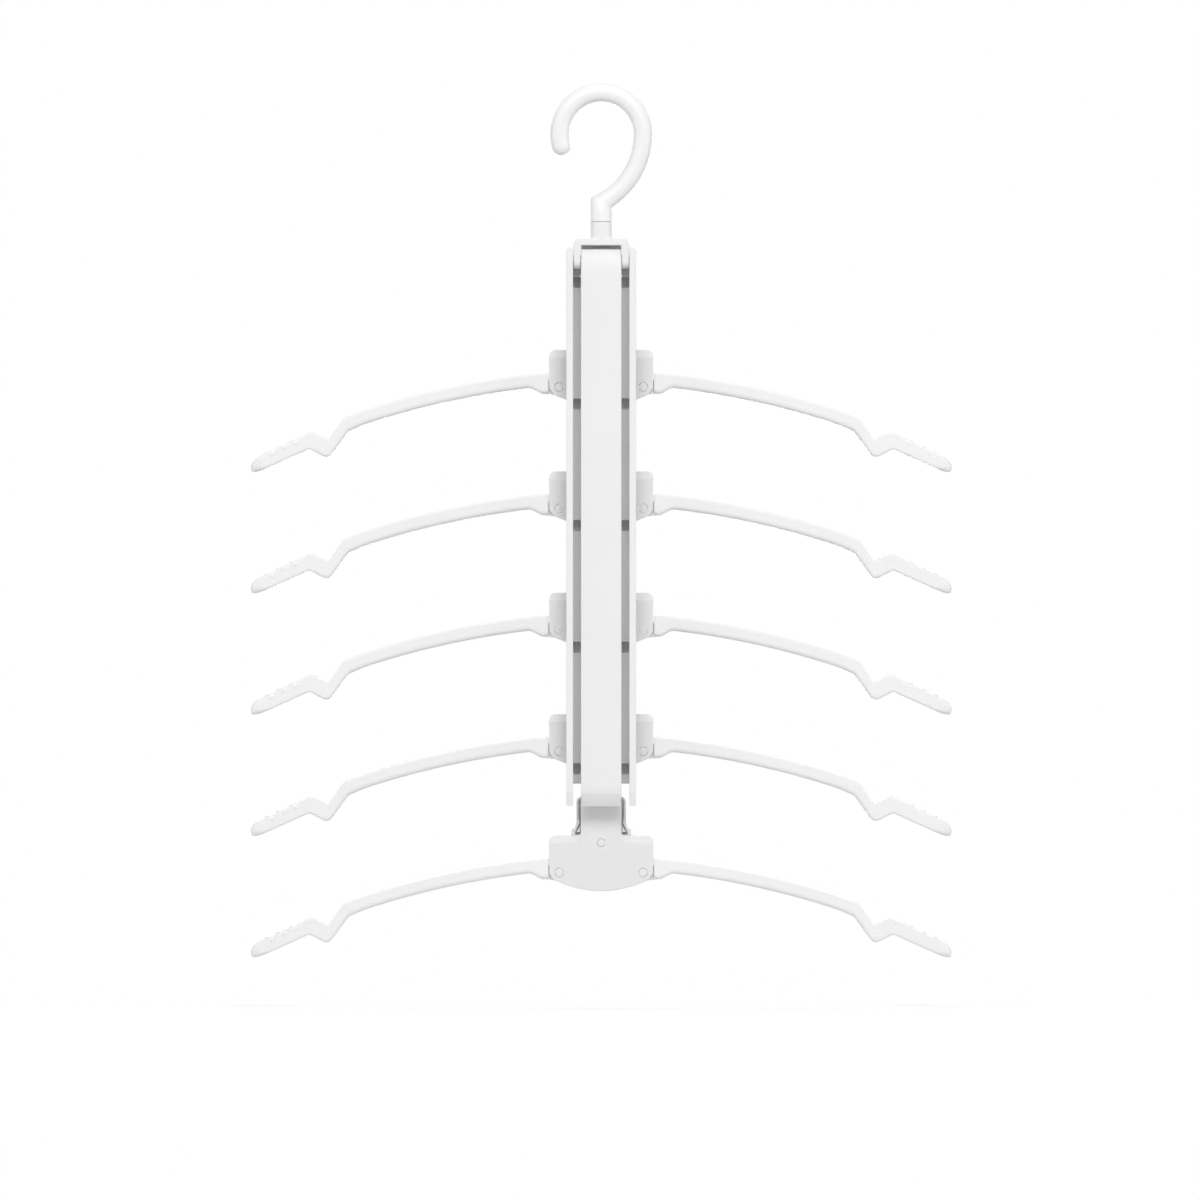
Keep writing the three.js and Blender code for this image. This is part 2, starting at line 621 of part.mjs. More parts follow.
function makeBracketRear() {
  const half = REAR_NECK_W / 2;
  const plate = new THREE.Shape();
  traceEars(plate);
  plate.holes.push(...pinHoles(), rivetHole());

  const neck = new THREE.Shape();
  const shoulder = rearNeckRise - REAR_NECK_R;
  neck.moveTo(-half, -SPACER_DROP);
  neck.lineTo(half, -SPACER_DROP);
  neck.lineTo(half, PLATE_RISE - OVERLAP);
  neck.lineTo(half + REAR_FLARE_W, PLATE_RISE - OVERLAP);
  neck.lineTo(half + REAR_FLARE_W, PLATE_RISE + REAR_FLARE_FOOT);
  neck.quadraticCurveTo(half, PLATE_RISE + REAR_FLARE_FOOT, half, PLATE_RISE + REAR_FLARE_H);
  neck.lineTo(half, shoulder);
  neck.absarc(half - REAR_NECK_R, shoulder, REAR_NECK_R, 0, Math.PI / 2, false);
  neck.lineTo(tongueHalf, rearNeckRise);
  neck.lineTo(tongueHalf, hingeRise);
  neck.lineTo(-tongueHalf, hingeRise);
  neck.lineTo(-tongueHalf, rearNeckRise);
  neck.lineTo(-half + REAR_NECK_R, rearNeckRise);
  neck.absarc(-half + REAR_NECK_R, shoulder, REAR_NECK_R, Math.PI / 2, Math.PI, false);
  neck.lineTo(-half, PLATE_RISE + REAR_FLARE_H);
  neck.quadraticCurveTo(
    -half, PLATE_RISE + REAR_FLARE_FOOT,
    -half - REAR_FLARE_W, PLATE_RISE + REAR_FLARE_FOOT,
  );
  neck.lineTo(-half - REAR_FLARE_W, PLATE_RISE - OVERLAP);
  neck.lineTo(-half, PLATE_RISE - OVERLAP);
  neck.holes.push(rivetHole());

  const spacer = polygon([
    [-half, -SPACER_DROP],
    [half, -SPACER_DROP],
    [half, PLATE_RISE],
    [-half, PLATE_RISE],
  ]);
  spacer.holes.push(rivetHole());

  const slitX = FRONT_NECK_W / 2 + RUN_GAP;
  const slit = (x0, x1) => block(
    x0, x1,
    rearNeckFront - OVERLAP, rearNeckFront + SLIT_D,
    PLATE_RISE + FIT_GAP, PLATE_RISE + FIT_GAP + SLIT_H,
  );

  return cut(
    join(
      slab(plate, rearPlateFront, bracketBack),
      slab(neck, rearNeckFront, rearNeckBack),
      slab(spacer, rearNeckBack - OVERLAP, rearPlateFront + OVERLAP),
      makeRim(1),
      makeRim(-1),
      rodX(BARREL_R, -tongueHalf, tongueHalf, hingeY, hingeRise),
    ),
    rodX(HINGE_PIN_D / 2 + FIT_GAP, -tongueHalf - OVERLAP, tongueHalf + OVERLAP, hingeY, hingeRise),
    slit(slitX, slitX + SLIT_W),
    slit(-slitX - SLIT_W, -slitX),
  );
}

const makeHingePin = () => rodX(HINGE_PIN_D / 2, -lugOuter, lugOuter, hingeY, hingeRise);
const makeRivet = () => rodY(RIVET_D / 2, bracketFront, bracketBack, 0, RIVET_RISE);
const makeArmPin = (side) => rodY(ARM_PIN_D / 2, bracketFront, bracketBack, side * pinX, 0);

// A leaf bent under the spacer, its ends standing beside the two arm eyes
function makeArmSpring() {
  const outer = pinX - EYE_R - FIT_GAP;
  const inner = outer - SPRING_T;
  const topZ = -SPACER_DROP - FIT_GAP;
  const leaf = polygon([
    [-outer, topZ - SPRING_T],
    [outer, topZ - SPRING_T],
    [outer, SPRING_RISE],
    [inner, SPRING_RISE],
    [inner, topZ],
    [-inner, topZ],
    [-inner, SPRING_RISE],
    [-outer, SPRING_RISE],
  ]);
  return slab(leaf, armY - SPRING_W / 2, armY + SPRING_W / 2);
}

// Arm: stations along the middle of its depth, each with a heading and the depth above and below
const rootX = EAR_HALF_W + RUN_GAP;
const notchX = ARM_REACH - NOTCH_FROM_TIP;
const brinkX = notchX - BRINK_FROM_NOTCH;
const rootHeading = THREE.MathUtils.degToRad(ROOT_SLOPE);

function shoulderPoint(x) {
  const heading = Math.asin(Math.sin(rootHeading) + (x - rootX) / SHOULDER_R);
  const z = ROOT_RISE - SHOULDER_R * (Math.cos(rootHeading) - Math.cos(heading));
  return { x, z, heading: -heading };
}

function tipCurve() {
  const before = shoulderPoint(brinkX - BRINK_FROM_NOTCH / 2);
  const brink = shoulderPoint(brinkX);
  const notchZ = brink.z - NOTCH_DROP;
  const crest = { x: notchX + CREST_FROM_NOTCH, z: notchZ + CREST_RISE };
  const fall = Math.tan(THREE.MathUtils.degToRad(PADDLE_SLOPE));
  const paddle = (share) => {
    const x = crest.x + share * (ARM_REACH - crest.x);
    return { x, z: crest.z - (x - crest.x) * fall };
  };
  const points = [before, brink, { x: notchX, z: notchZ }, crest, paddle(0.5), paddle(1)];
  return new THREE.CatmullRomCurve3(points.map(({ x, z }) => new THREE.Vector3(x, 0, z)), false, 'centripetal');
}

function armStations() {
  const stations = [];
  const half = ARM_DEPTH / 2;
  const gussetEnd = rootX + GUSSET_L;
  const deep = { above: half, below: half + GUSSET_H, share: 1 };
  stations.push({ ...shoulderPoint(rootX), ...deep, heading: 0 }); // root face stands upright beside the ear
  stations.push({ ...shoulderPoint(rootX + GUSSET_FLAT), ...deep });
  stations.push({ ...shoulderPoint(gussetEnd), above: half, below: half, share: 1 });
  const shoulderSteps = 5;
  for (let i = 1; i <= shoulderSteps; i += 1) {
    const x = gussetEnd + (i / shoulderSteps) * (brinkX - gussetEnd);
    stations.push({ ...shoulderPoint(x), above: half, below: half, share: 1 });
  }
  const curve = tipCurve();
  const spans = 5;
  const tipSteps = 12;
  for (let i = 1; i <= tipSteps; i += 1) {
    const t = (1 + (spans - 1) * (i / tipSteps)) / spans;
    const point = curve.getPoint(t);
    const tangent = curve.getTangent(t);
    const towardsPaddle = THREE.MathUtils.smoothstep(point.x, brinkX, notchX + CREST_FROM_NOTCH);
    const depth = THREE.MathUtils.lerp(ARM_DEPTH, PADDLE_DEPTH, towardsPaddle);
    const left = Math.min(1, (ARM_REACH - point.x) / TIP_ROUND);
    const share = Math.max(0.25, Math.sqrt(1 - (1 - left) ** 2));
    const heading = Math.atan2(tangent.z, tangent.x);
    stations.push({ x: point.x, z: point.z, heading, above: depth / 2, below: depth / 2, share });
  }
  return stations;
}

function armRing({ x, z, heading, above, below, share }) {
  const halves = [
    [CROWN_W / 2, above],
    [ARM_WIDTH / 2, above - CROWN_EDGE],
    [ARM_WIDTH / 2, -below / 3],
    [BELLY_W / 2, -below],
  ];
  const section = [...halves.map(([y, n]) => [-y, n]), ...halves.slice().reverse()];
  return section.map(([y, n]) => new THREE.Vector3(
    x - Math.sin(heading) * n * share,
    armY + y * share,
    z + Math.cos(heading) * n * share,
  ));
}

function makeRightArm() {
  const body = skin(armStations().map(armRing));
  const [eyeFront, eyeBack] = [armY - EYE_T / 2, armY + EYE_T / 2];
  const eye = rodY(EYE_R, eyeFront, eyeBack, pinX, 0);
  const web = block(pinX, rootX + OVERLAP, eyeFront, eyeBack, -WEB_H / 2, WEB_H / 2);
  const bore = rodY(ARM_PIN_D / 2 + RUN_GAP, eyeFront - OVERLAP, eyeBack + OVERLAP, pinX, 0);
  return geometryOf(cut(join(body, eye, web), bore));
}

// The assembly
const hanger = new THREE.Group();

function place(parent, name, geometry, material) {
  const mesh = new THREE.Mesh(geometry, material);
  mesh.name = name;
  parent.add(mesh);
}

place(hanger, 'hook', geometryOf(makeHook()), hookWhite);
place(hanger, 'swivel_ring', geometryOf(makeSwivelRing()), steel);
place(hanger, 'yoke', geometryOf(makeYoke()), hookWhite);
place(hanger, 'yoke_pin', geometryOf(makeYokePin()), steel);
place(hanger, 'column_channel', geometryOf(makeColumnChannel()), shellWhite);
place(hanger, 'front_bar', geometryOf(makeFrontBar()), shellWhite);
screwZ.forEach((z, index) => {
  place(hanger, `bar_screw_${index + 1}`, geometryOf(makeBarScrew(z)), steel);
});

const bracketFrontShell = geometryOf(makeBracketFront());
const bracketRearShell = geometryOf(makeBracketRear());
const hingePin = geometryOf(makeHingePin());
const rivet = geometryOf(makeRivet());
const spring = geometryOf(makeArmSpring());
const rightArm = makeRightArm();
const leftArm = mirrored(rightArm);
const rightPin = geometryOf(makeArmPin(1));
const leftPin = geometryOf(makeArmPin(-1));

tierZ.forEach((z, index) => {
  const number = index + 1;
  const tier = new THREE.Group();
  tier.position.set(0, 0, z);
  place(tier, `bracket_front_${number}`, bracketFrontShell, shellWhite);
  place(tier, `bracket_rear_${number}`, bracketRearShell, shellWhite);
  place(tier, `hinge_pin_${number}`, hingePin, steel);
  place(tier, `bracket_rivet_${number}`, rivet, shellWhite);
  place(tier, `arm_spring_${number}`, spring, steel);
  place(tier, `arm_left_${number}`, leftArm, armWhite);
  place(tier, `arm_right_${number}`, rightArm, armWhite);
  place(tier, `arm_pin_left_${number}`, leftPin, shellWhite);
  place(tier, `arm_pin_right_${number}`, rightPin, shellWhite);
  hanger.add(tier);
});

export default hanger;
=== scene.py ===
# %% [markdown]
# # A five-tier folding hanger
# The object is a white plastic hanger: a swivel hook, a slotted column and five pairs of arms that fold
# down on brackets behind the column. The frame below holds its solids at their real size. This lesson gives
# each of them a finer surface, worked out with numpy, and a moulded-plastic finish made of shader nodes.

# %% Load the frame
import math

import bmesh
import bpy
import numpy as np
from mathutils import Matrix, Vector
from mathutils.geometry import tessellate_polygon


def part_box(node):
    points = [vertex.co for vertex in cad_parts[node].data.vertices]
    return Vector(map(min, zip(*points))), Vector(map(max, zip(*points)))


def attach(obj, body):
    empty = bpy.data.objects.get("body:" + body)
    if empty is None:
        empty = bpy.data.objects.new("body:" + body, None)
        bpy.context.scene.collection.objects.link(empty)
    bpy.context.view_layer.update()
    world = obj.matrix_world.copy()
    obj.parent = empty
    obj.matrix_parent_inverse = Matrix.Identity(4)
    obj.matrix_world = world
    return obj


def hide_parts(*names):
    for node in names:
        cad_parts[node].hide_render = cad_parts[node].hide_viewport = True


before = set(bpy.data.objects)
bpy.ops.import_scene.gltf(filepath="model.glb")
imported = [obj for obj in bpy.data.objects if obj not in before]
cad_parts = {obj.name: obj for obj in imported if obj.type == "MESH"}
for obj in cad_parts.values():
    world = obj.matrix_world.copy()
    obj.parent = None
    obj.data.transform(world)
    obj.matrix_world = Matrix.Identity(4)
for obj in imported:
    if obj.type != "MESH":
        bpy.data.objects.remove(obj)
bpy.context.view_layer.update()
MM = 0.001
TIERS = range(1, 6)
SIDES = {"left": -1, "right": 1}

# %% [markdown]
# ## Reading places from the frame
# Every place comes from the boxes of the solids, so that the fine surfaces sit exactly where the solids are.
# The script works in millimetres, which suit an object of this size, and turns them to metres at the end.


# %% Boxes of the solids, in millimetres
def span(node):
    """The lowest and highest corner of a node, as two arrays in millimetres."""
    low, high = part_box(node)
    return np.array(low) / MM, np.array(high) / MM


channel_low, channel_high = span("column_channel")
bar_low, bar_high = span("front_bar")
yoke_high = span("yoke")[1]
NIB_OUT = 0.7
bar_half = bar_high[0] - NIB_OUT
hook_low, hook_high = span("hook")
yoke_pin_low, yoke_pin_high = span("yoke_pin")
pivot_z = (yoke_pin_low[2] + yoke_pin_high[2]) / 2
tier_z = {}
hinge_z = {}
for tier in TIERS:
    pin_low, pin_high = span(f"arm_pin_right_{tier}")
    tier_z[tier] = (pin_low[2] + pin_high[2]) / 2
    hinge_low, hinge_high = span(f"hinge_pin_{tier}")
    hinge_z[tier] = (hinge_low[2] + hinge_high[2]) / 2
pin_x = (pin_low[0] + pin_high[0]) / 2
pin_r = (pin_high[0] - pin_low[0]) / 2
hinge_y = (hinge_low[1] + hinge_high[1]) / 2
print("arm pins at", tier_z, "swing pins at", hinge_z)

# %% [markdown]
# ## Outlines with round corners
# Moulded parts have no sharp corners in outline. A list of corners with a radius each is enough to draw one:
# at each corner the two sides are cut back to where a circle of that radius touches them, and the arc joins
# the two cuts.


# %% Outline helpers
QUARTER = math.pi / 2
FULL = 2 * math.pi
STRAIGHT = math.radians(89)
SHARPEST = 0.3


def arc(centre, radius, turn):
    """Points of a circle round a centre, at the given angles."""
    return np.array(centre) + radius * np.stack([np.cos(turn), np.sin(turn)], 1)


def bend(start, pull, end, count):
    """A curve from start to end that leans towards a third point: the quadratic blend of all three."""
    t = np.linspace(0, 1, count)[:, None]
    return (1 - t) ** 2 * np.array(start) + 2 * t * (1 - t) * np.array(pull) + t ** 2 * np.array(end)


def oblong(a0, a1, b0, b1):
    """The four corners of an upright box, against the clock."""
    return np.array([(a0, b0), (a1, b0), (a1, b1), (a0, b1)])


def rounded(corners, steps=6):
    """A closed outline from corners (a, b, radius), each made an arc tangent to both of its sides."""
    points = np.array([corner[:2] for corner in corners], float)
    pieces = []
    for i, (_, _, radius) in enumerate(corners):
        here = points[i]
        back = points[i - 1] - here
        ahead = points[(i + 1) % len(points)] - here
        back /= np.linalg.norm(back)
        ahead /= np.linalg.norm(ahead)
        half = math.acos(np.clip(back @ ahead, -1, 1)) / 2
        if radius <= 0 or half > STRAIGHT:
            pieces.append(here[None])
            continue
        cut = radius / math.tan(half)
        middle = back + ahead
        centre = here + middle / np.linalg.norm(middle) * (radius / math.sin(half))
        start = here + back * cut - centre
        end = here + ahead * cut - centre
        angle = math.atan2(start[0] * end[1] - start[1] * end[0], start @ end)
        turn = np.linspace(0, angle, steps + 1)
        first = math.atan2(start[1], start[0])
        pieces.append(arc(centre, radius, first + turn))
    return np.concatenate(pieces)


def circle(a, b, radius, count=32):
    """Points round a circle, against the clock."""
    return arc((a, b), radius, np.linspace(0, FULL, count, endpoint=False))


def inset(loop, distance):
    """The loop moved to its left by a distance: each point goes along the mean of its two sides' normals."""
    ahead = np.roll(loop, -1, 0) - loop
    ahead /= np.linalg.norm(ahead, axis=1, keepdims=True)
    normal = np.stack([-ahead[:, 1], ahead[:, 0]], 1)
    before = np.roll(normal, 1, 0)
    share = 1 + (normal * before).sum(1, keepdims=True)
    return loop + distance * (normal + before) / np.maximum(share, SHARPEST)


square = [(*corner, 0.2) for corner in oblong(0, 1, 0, 1)]
print("a square with round corners has", len(rounded(square)), "points")

# %% [markdown]
# ## Plates, blocks and pins as stacked loops
# A moulded plate is its outline carried through its thickness. Near each face the outline draws in along a
# quarter circle, which is the small edge radius that catches the light. The same loop of points is used at
# every level, so neighbouring levels join into quads, and the two faces are filled between the outline and
# any holes. Where shells of one piece join, they run into each other by a small lap.

# %% Stacked loops
AXES = {"X": (1, 2, 0), "Y": (0, 2, 1), "Z": (0, 1, 2)}


def lift(loop, height, axis):
    """A flat loop as points in space, with the axis it is carried along at the given height."""
    a, b, along = AXES[axis]
    points = np.empty((len(loop), 3))
    points[:, a] = loop[:, 0]
    points[:, b] = loop[:, 1]
    points[:, along] = height
    return points


def ring_quads(rings, count, start=0):
    """Quads between neighbouring rings of points, each ring closed on itself."""
    level, side = np.meshgrid(np.arange(rings - 1), np.arange(count), indexing="ij")
    a = start + level * count + side
    b = start + level * count + (side + 1) % count
    return np.stack([a, b, b + count, a + count], -1).reshape(-1, 4)


def skin(rings):
    """A closed shell from an array of rings of points, with a flat face at both ends."""
    levels, count, _ = rings.shape
    last = (levels - 1) * count
    ends = [list(range(count))[::-1], list(range(last, last + count))]
    return rings.reshape(-1, 3), ring_quads(levels, count).tolist() + ends


def stack(levels, axis):
    """A closed shell from levels, each (loops, height) with the outline first and the holes after it."""
    points = []
    faces = []
    start = 0
    first_cap = []
    last_cap = []
    for index in range(len(levels[0][0])):
        rings = [lift(loops[index], height, axis) for loops, height in levels]
        count = len(rings[0])
        points.extend(rings)
        faces += ring_quads(len(rings), count, start).tolist()
        first_cap.append((start, rings[0]))
        last_cap.append((start + (len(rings) - 1) * count, rings[-1]))
        start += len(rings) * count
    for cap in (first_cap, last_cap):
        ids = np.concatenate([begin + np.arange(len(ring)) for begin, ring in cap])
        fill = tessellate_polygon([[Vector(point) for point in ring] for _, ring in cap])
        faces += ids[np.array(fill)].tolist()
    return np.concatenate(points), faces


EDGE_STEPS = 4
SUPPORT = 0.12
LAP = 0.3


def plate(outline, low, high, axis, edge=0.5, holes=(), hole_edge=0.25):
    """An outline carried from low to high, with its edges and the rims of its holes rounded."""
    turn = np.linspace(0, QUARTER, EDGE_STEPS + 1)
    inward = [1 - math.sin(t) for t in turn]
    upward = [1 - math.cos(t) for t in turn]
    loops = [(outline, edge)] + [(hole[::-1], hole_edge) for hole in holes]

    def level(share, extra=0.0):
        return [inset(loop, radius * share + extra) for loop, radius in loops]

    levels = [(level(1, SUPPORT), low)]
    levels += [(level(i), low + edge * u) for i, u in zip(inward, upward)]
    levels += [(level(i), high - edge * u) for i, u in zip(inward[::-1], upward[::-1])]
    levels.append((level(1, SUPPORT), high))
    return stack(levels, axis)


def turned(profile, centre, axis, count=40):
    """A profile of (radius, height) pairs turned round an axis through a centre, closed by flat ends."""
    return stack([([circle(*centre, radius, count)], height) for radius, height in profile], axis)


print("edge radius in", EDGE_STEPS, "steps, with a support loop", SUPPORT, "mm inside each face")

# %% [markdown]
# ## From arrays to a piece
# A piece is one mesh made of one or more closed shells. Its points go in at their real place, its faces are
# turned outwards, and it rides on the body that its solid belongs to, in place of that solid.


# %% Making a piece
CREASE = 34


def put(name, data):
    """A new object with this data, linked to the scene."""
    made = bpy.data.objects.new(name, data)
    bpy.context.scene.collection.objects.link(made)
    return made


def piece(name, shells, material, body, node, crease=CREASE):
    """Joins shells into one mesh in metres that rides on a body and stands for a node."""
    faces = []
    start = 0
    for points, polygons in shells:
        faces += [tuple(start + corner for corner in polygon) for polygon in polygons]
        start += len(points)
    mesh = bpy.data.meshes.new(name)
    everything = np.concatenate([points for points, _ in shells]) * MM
    mesh.from_pydata(everything.tolist(), [], faces)
    work = bmesh.new()
    work.from_mesh(mesh)
    bmesh.ops.recalc_face_normals(work, faces=work.faces)
    work.to_mesh(mesh)
    work.free()
    mesh.polygons.foreach_set("use_smooth", np.ones(len(mesh.polygons), bool))
    mesh.set_sharp_from_angle(angle=math.radians(crease))
    mesh.materials.append(material)
    made = put(name, mesh)
    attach(made, body)
    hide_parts(node)
    return made


def moved(shells, z):
    """The same shells, higher by z."""
    return [(points + np.array([0, 0, z]), faces) for points, faces in shells]


def mirrored(shells):
    """The same shells on the other side of the middle plane."""
    return [(points * np.array([-1, 1, 1]), faces) for points, faces in shells]


def half_turned(shells, y):
    """The same shells, half a turn round the upright line through a depth y."""
    return [(points * np.array([-1, -1, 1]) + np.array([0, 2 * y, 0]), faces) for points, faces in shells]


# %% [markdown]
# ## Moulded white plastic
# All the white pieces come out of steel moulds, so they share three effects: the fine even grain that the
# mould's matt surface leaves, a slow drift of tone where the plastic cooled, and faint scuffs from handling.
# Each effect is a node group with named inputs, and each finish places it with its own values.


# %% Shared effects
def effect(name, inputs, outputs):
    """An empty node group with these sockets, and its input and output nodes."""
    tree = bpy.data.node_groups.new(name, "ShaderNodeTree")
    for label, kind, value in inputs:
        socket = tree.interface.new_socket(label, in_out="INPUT", socket_type=kind)
        if value is not None:
            socket.default_value = value
    for label, kind in outputs:
        tree.interface.new_socket(label, in_out="OUTPUT", socket_type=kind)
    return tree, tree.nodes.new("NodeGroupInput"), tree.nodes.new("NodeGroupOutput")


def feed(tree, value, socket):
    """Sets a socket to a number, or links an output socket to it."""
    if isinstance(value, (int, float)):
        socket.default_value = value
    else:
        tree.links.new(value, socket)


def noise(tree, vector, scale, detail, rough=0.5):
    """A noise texture read at a vector; scale is a number or an output socket."""
    node = tree.nodes.new("ShaderNodeTexNoise")
    node.inputs["Detail"].default_value = detail
    node.inputs["Roughness"].default_value = rough
    tree.links.new(vector, node.inputs["Vector"])
    feed(tree, scale, node.inputs["Scale"])
    return node


def ranged(tree, value, low, high, new_low, new_high):
    """A value mapped from one range to another; each end is a number or an output socket."""
    node = tree.nodes.new("ShaderNodeMapRange")
    tree.links.new(value, node.inputs["Value"])
    ends = {"From Min": low, "From Max": high, "To Min": new_low, "To Max": new_high}
    for label, end in ends.items():
        feed(tree, end, node.inputs[label])
    return node.outputs["Result"]


def maths(tree, operation, first, second):
    """One maths node on two values, each a number or an output socket."""
    node = tree.nodes.new("ShaderNodeMath")
    node.operation = operation
    feed(tree, first, node.inputs[0])
    feed(tree, second, node.inputs[1])
    return node.outputs["Value"]


COARSE_SHARE = 0.31


def make_grain():
    """Even fine grain: two sizes of noise added, for the height of a bump."""
    tree, into, out = effect(
        "moulded_grain",
        [("Position", "NodeSocketVector", None), ("Scale", "NodeSocketFloat", 2500.0)],
        [("Height", "NodeSocketFloat")],
    )
    fine = noise(tree, into.outputs["Position"], into.outputs["Scale"], 2.0)
    coarse_scale = maths(tree, "MULTIPLY", into.outputs["Scale"], COARSE_SHARE)
    coarse = noise(tree, into.outputs["Position"], coarse_scale, 1.0)
    total = maths(tree, "ADD", fine.outputs["Fac"], coarse.outputs["Fac"])
    tree.links.new(total, out.inputs["Height"])
    return tree


def make_drift():
    """Slow change of tone: soft noise mixes between a colour and a slightly warmer, darker one."""
    tree, into, out = effect(
        "cooling_drift",
        [
            ("Position", "NodeSocketVector", None),
            ("Colour", "NodeSocketColor", (0.85, 0.85, 0.85, 1)),
            ("Deep Colour", "NodeSocketColor", (0.8, 0.8, 0.8, 1)),
            ("Scale", "NodeSocketFloat", 14.0),
        ],
        [("Colour", "NodeSocketColor")],
    )
    cloud = noise(tree, into.outputs["Position"], into.outputs["Scale"], 3.0)
    share = ranged(tree, cloud.outputs["Fac"], 0.35, 0.7, 0.0, 1.0)
    mix = tree.nodes.new("ShaderNodeMix")
    mix.data_type = "RGBA"
    tree.links.new(share, mix.inputs["Factor"])
    tree.links.new(into.outputs["Colour"], mix.inputs["A"])
    tree.links.new(into.outputs["Deep Colour"], mix.inputs["B"])
    tree.links.new(mix.outputs["Result"], out.inputs["Colour"])
    return tree


def make_scuffs():
    """Faint scuffs: thin stretched noise, cut to its peaks, that changes the gloss."""
    tree, into, out = effect(
        "handling_scuffs",
        [
            ("Position", "NodeSocketVector", None),
            ("Gloss", "NodeSocketFloat", 0.4),
            ("Dull", "NodeSocketFloat", 0.55),
            ("Scale", "NodeSocketFloat", 160.0),
        ],
        [("Roughness", "NodeSocketFloat"), ("Mask", "NodeSocketFloat")],
    )
    stretch = tree.nodes.new("ShaderNodeMapping")
    stretch.inputs["Rotation"].default_value = (0.4, 0.9, 0.3)
    stretch.inputs["Scale"].default_value = (1.0, 1.0, 0.12)
    tree.links.new(into.outputs["Position"], stretch.inputs["Vector"])
    streak = noise(tree, stretch.outputs["Vector"], into.outputs["Scale"], 4.0, 0.6)
    mask = ranged(tree, streak.outputs["Fac"], 0.5, 0.72, 0.0, 1.0)
    dullness = ranged(tree, mask, 0.0, 1.0, into.outputs["Gloss"], into.outputs["Dull"])
    tree.links.new(dullness, out.inputs["Roughness"])
    tree.links.new(mask, out.inputs["Mask"])
    return tree


GRAIN = make_grain()
DRIFT = make_drift()
SCUFFS = make_scuffs()
print("shared effects:", [tree.name for tree in (GRAIN, DRIFT, SCUFFS)])


# %% Finishes
PLASTIC_IOR = 1.49
GRAIN_DEPTH = 0.0002


def finish(name, colour, deep, gloss, dull, grain, bump, metallic=0.0, scuff_scale=160.0):
    """A procedural finish: drifting colour, scuffed gloss and a grain bump on one Principled shader."""
    made = bpy.data.materials.new(name)
    made.use_nodes = True
    tree = made.node_tree
    shader = tree.nodes["Principled BSDF"]
    position = tree.nodes.new("ShaderNodeTexCoord").outputs["Object"]

    def placed(group_tree, **values):
        node = tree.nodes.new("ShaderNodeGroup")
        node.node_tree = group_tree
        tree.links.new(position, node.inputs["Position"])
        for label, value in values.items():
            node.inputs[label.replace("_", " ")].default_value = value
        return node

    drift = placed(DRIFT, Colour=(*colour, 1), Deep_Colour=(*deep, 1))
    scuffs = placed(SCUFFS, Gloss=gloss, Dull=dull, Scale=scuff_scale)
    texture = placed(GRAIN, Scale=grain)
    relief = tree.nodes.new("ShaderNodeBump")
    relief.inputs["Strength"].default_value = bump
    relief.inputs["Distance"].default_value = GRAIN_DEPTH
    tree.links.new(texture.outputs["Height"], relief.inputs["Height"])
    tree.links.new(drift.outputs["Colour"], shader.inputs["Base Color"])
    tree.links.new(scuffs.outputs["Roughness"], shader.inputs["Roughness"])
    tree.links.new(relief.outputs["Normal"], shader.inputs["Normal"])
    shader.inputs["Metallic"].default_value = metallic
    shader.inputs["IOR"].default_value = PLASTIC_IOR
    return made


hook_satin = finish("hook_satin", (0.90, 0.90, 0.90), (0.885, 0.885, 0.883), 0.36, 0.46, 2200.0, 0.03)
yoke_satin = finish("yoke_satin", (0.86, 0.86, 0.86), (0.846, 0.846, 0.844), 0.38, 0.48, 2200.0, 0.03)
shell_matt = finish("shell_matt", (0.79, 0.79, 0.793), (0.775, 0.775, 0.776), 0.46, 0.56, 2600.0, 0.05)
bar_matt = finish("bar_matt", (0.85, 0.85, 0.852), (0.835, 0.835, 0.835), 0.44, 0.54, 2600.0, 0.05)
arm_satin = finish("arm_satin", (0.88, 0.88, 0.88), (0.866, 0.866, 0.863), 0.40, 0.48, 2300.0, 0.01)
pin_satin = finish("pin_satin", (0.80, 0.80, 0.803), (0.785, 0.785, 0.786), 0.40, 0.50, 2300.0, 0.03)
zinc_steel = finish(
    "zinc_steel", (0.62, 0.63, 0.64), (0.55, 0.56, 0.57), 0.28, 0.45, 1800.0, 0.15, 1.0, 700.0
)
white_finishes = (hook_satin, yoke_satin, shell_matt, bar_matt, arm_satin, pin_satin)
print("finishes:", [made.name for made in (*white_finishes, zinc_steel)])

# %% [markdown]
# ## The hook
# The hook is a round rod, bent to a loop and swept back to the middle, where it meets the stem at a mitred
# elbow. A circle carried along the rod's centreline gives all of it: at the tip the circle shrinks along a
# quarter turn, and at the elbow it is slid along the rod until it lies in the mitre.

# %% Hook
ROD_R = 5.2
LOOP_R = 23.7
TIP_TURN = math.radians(197)
SWEEP_R = 43.8
STEM_R = 6.0
SPIGOT_R = 3.0
ELBOW_SUPPORT = 1.0
ELBOW_REACH = 6.1
SEAM_DROP = 10.86
HOOK_CREASE = 75
RING_COUNT = 40
SEAM_SUPPORT = 0.6
SEAM_EDGE = 0.15
SEAM_CUT = 0.04
SEAM_RIM = 0.1
loop_z = hook_high[2] - ROD_R - LOOP_R
sweep_x = LOOP_R - SWEEP_R
sweep_turn = math.acos(-sweep_x / SWEEP_R)
elbow_z = loop_z - SWEEP_R * math.sin(sweep_turn)
seam_z = elbow_z - SEAM_DROP


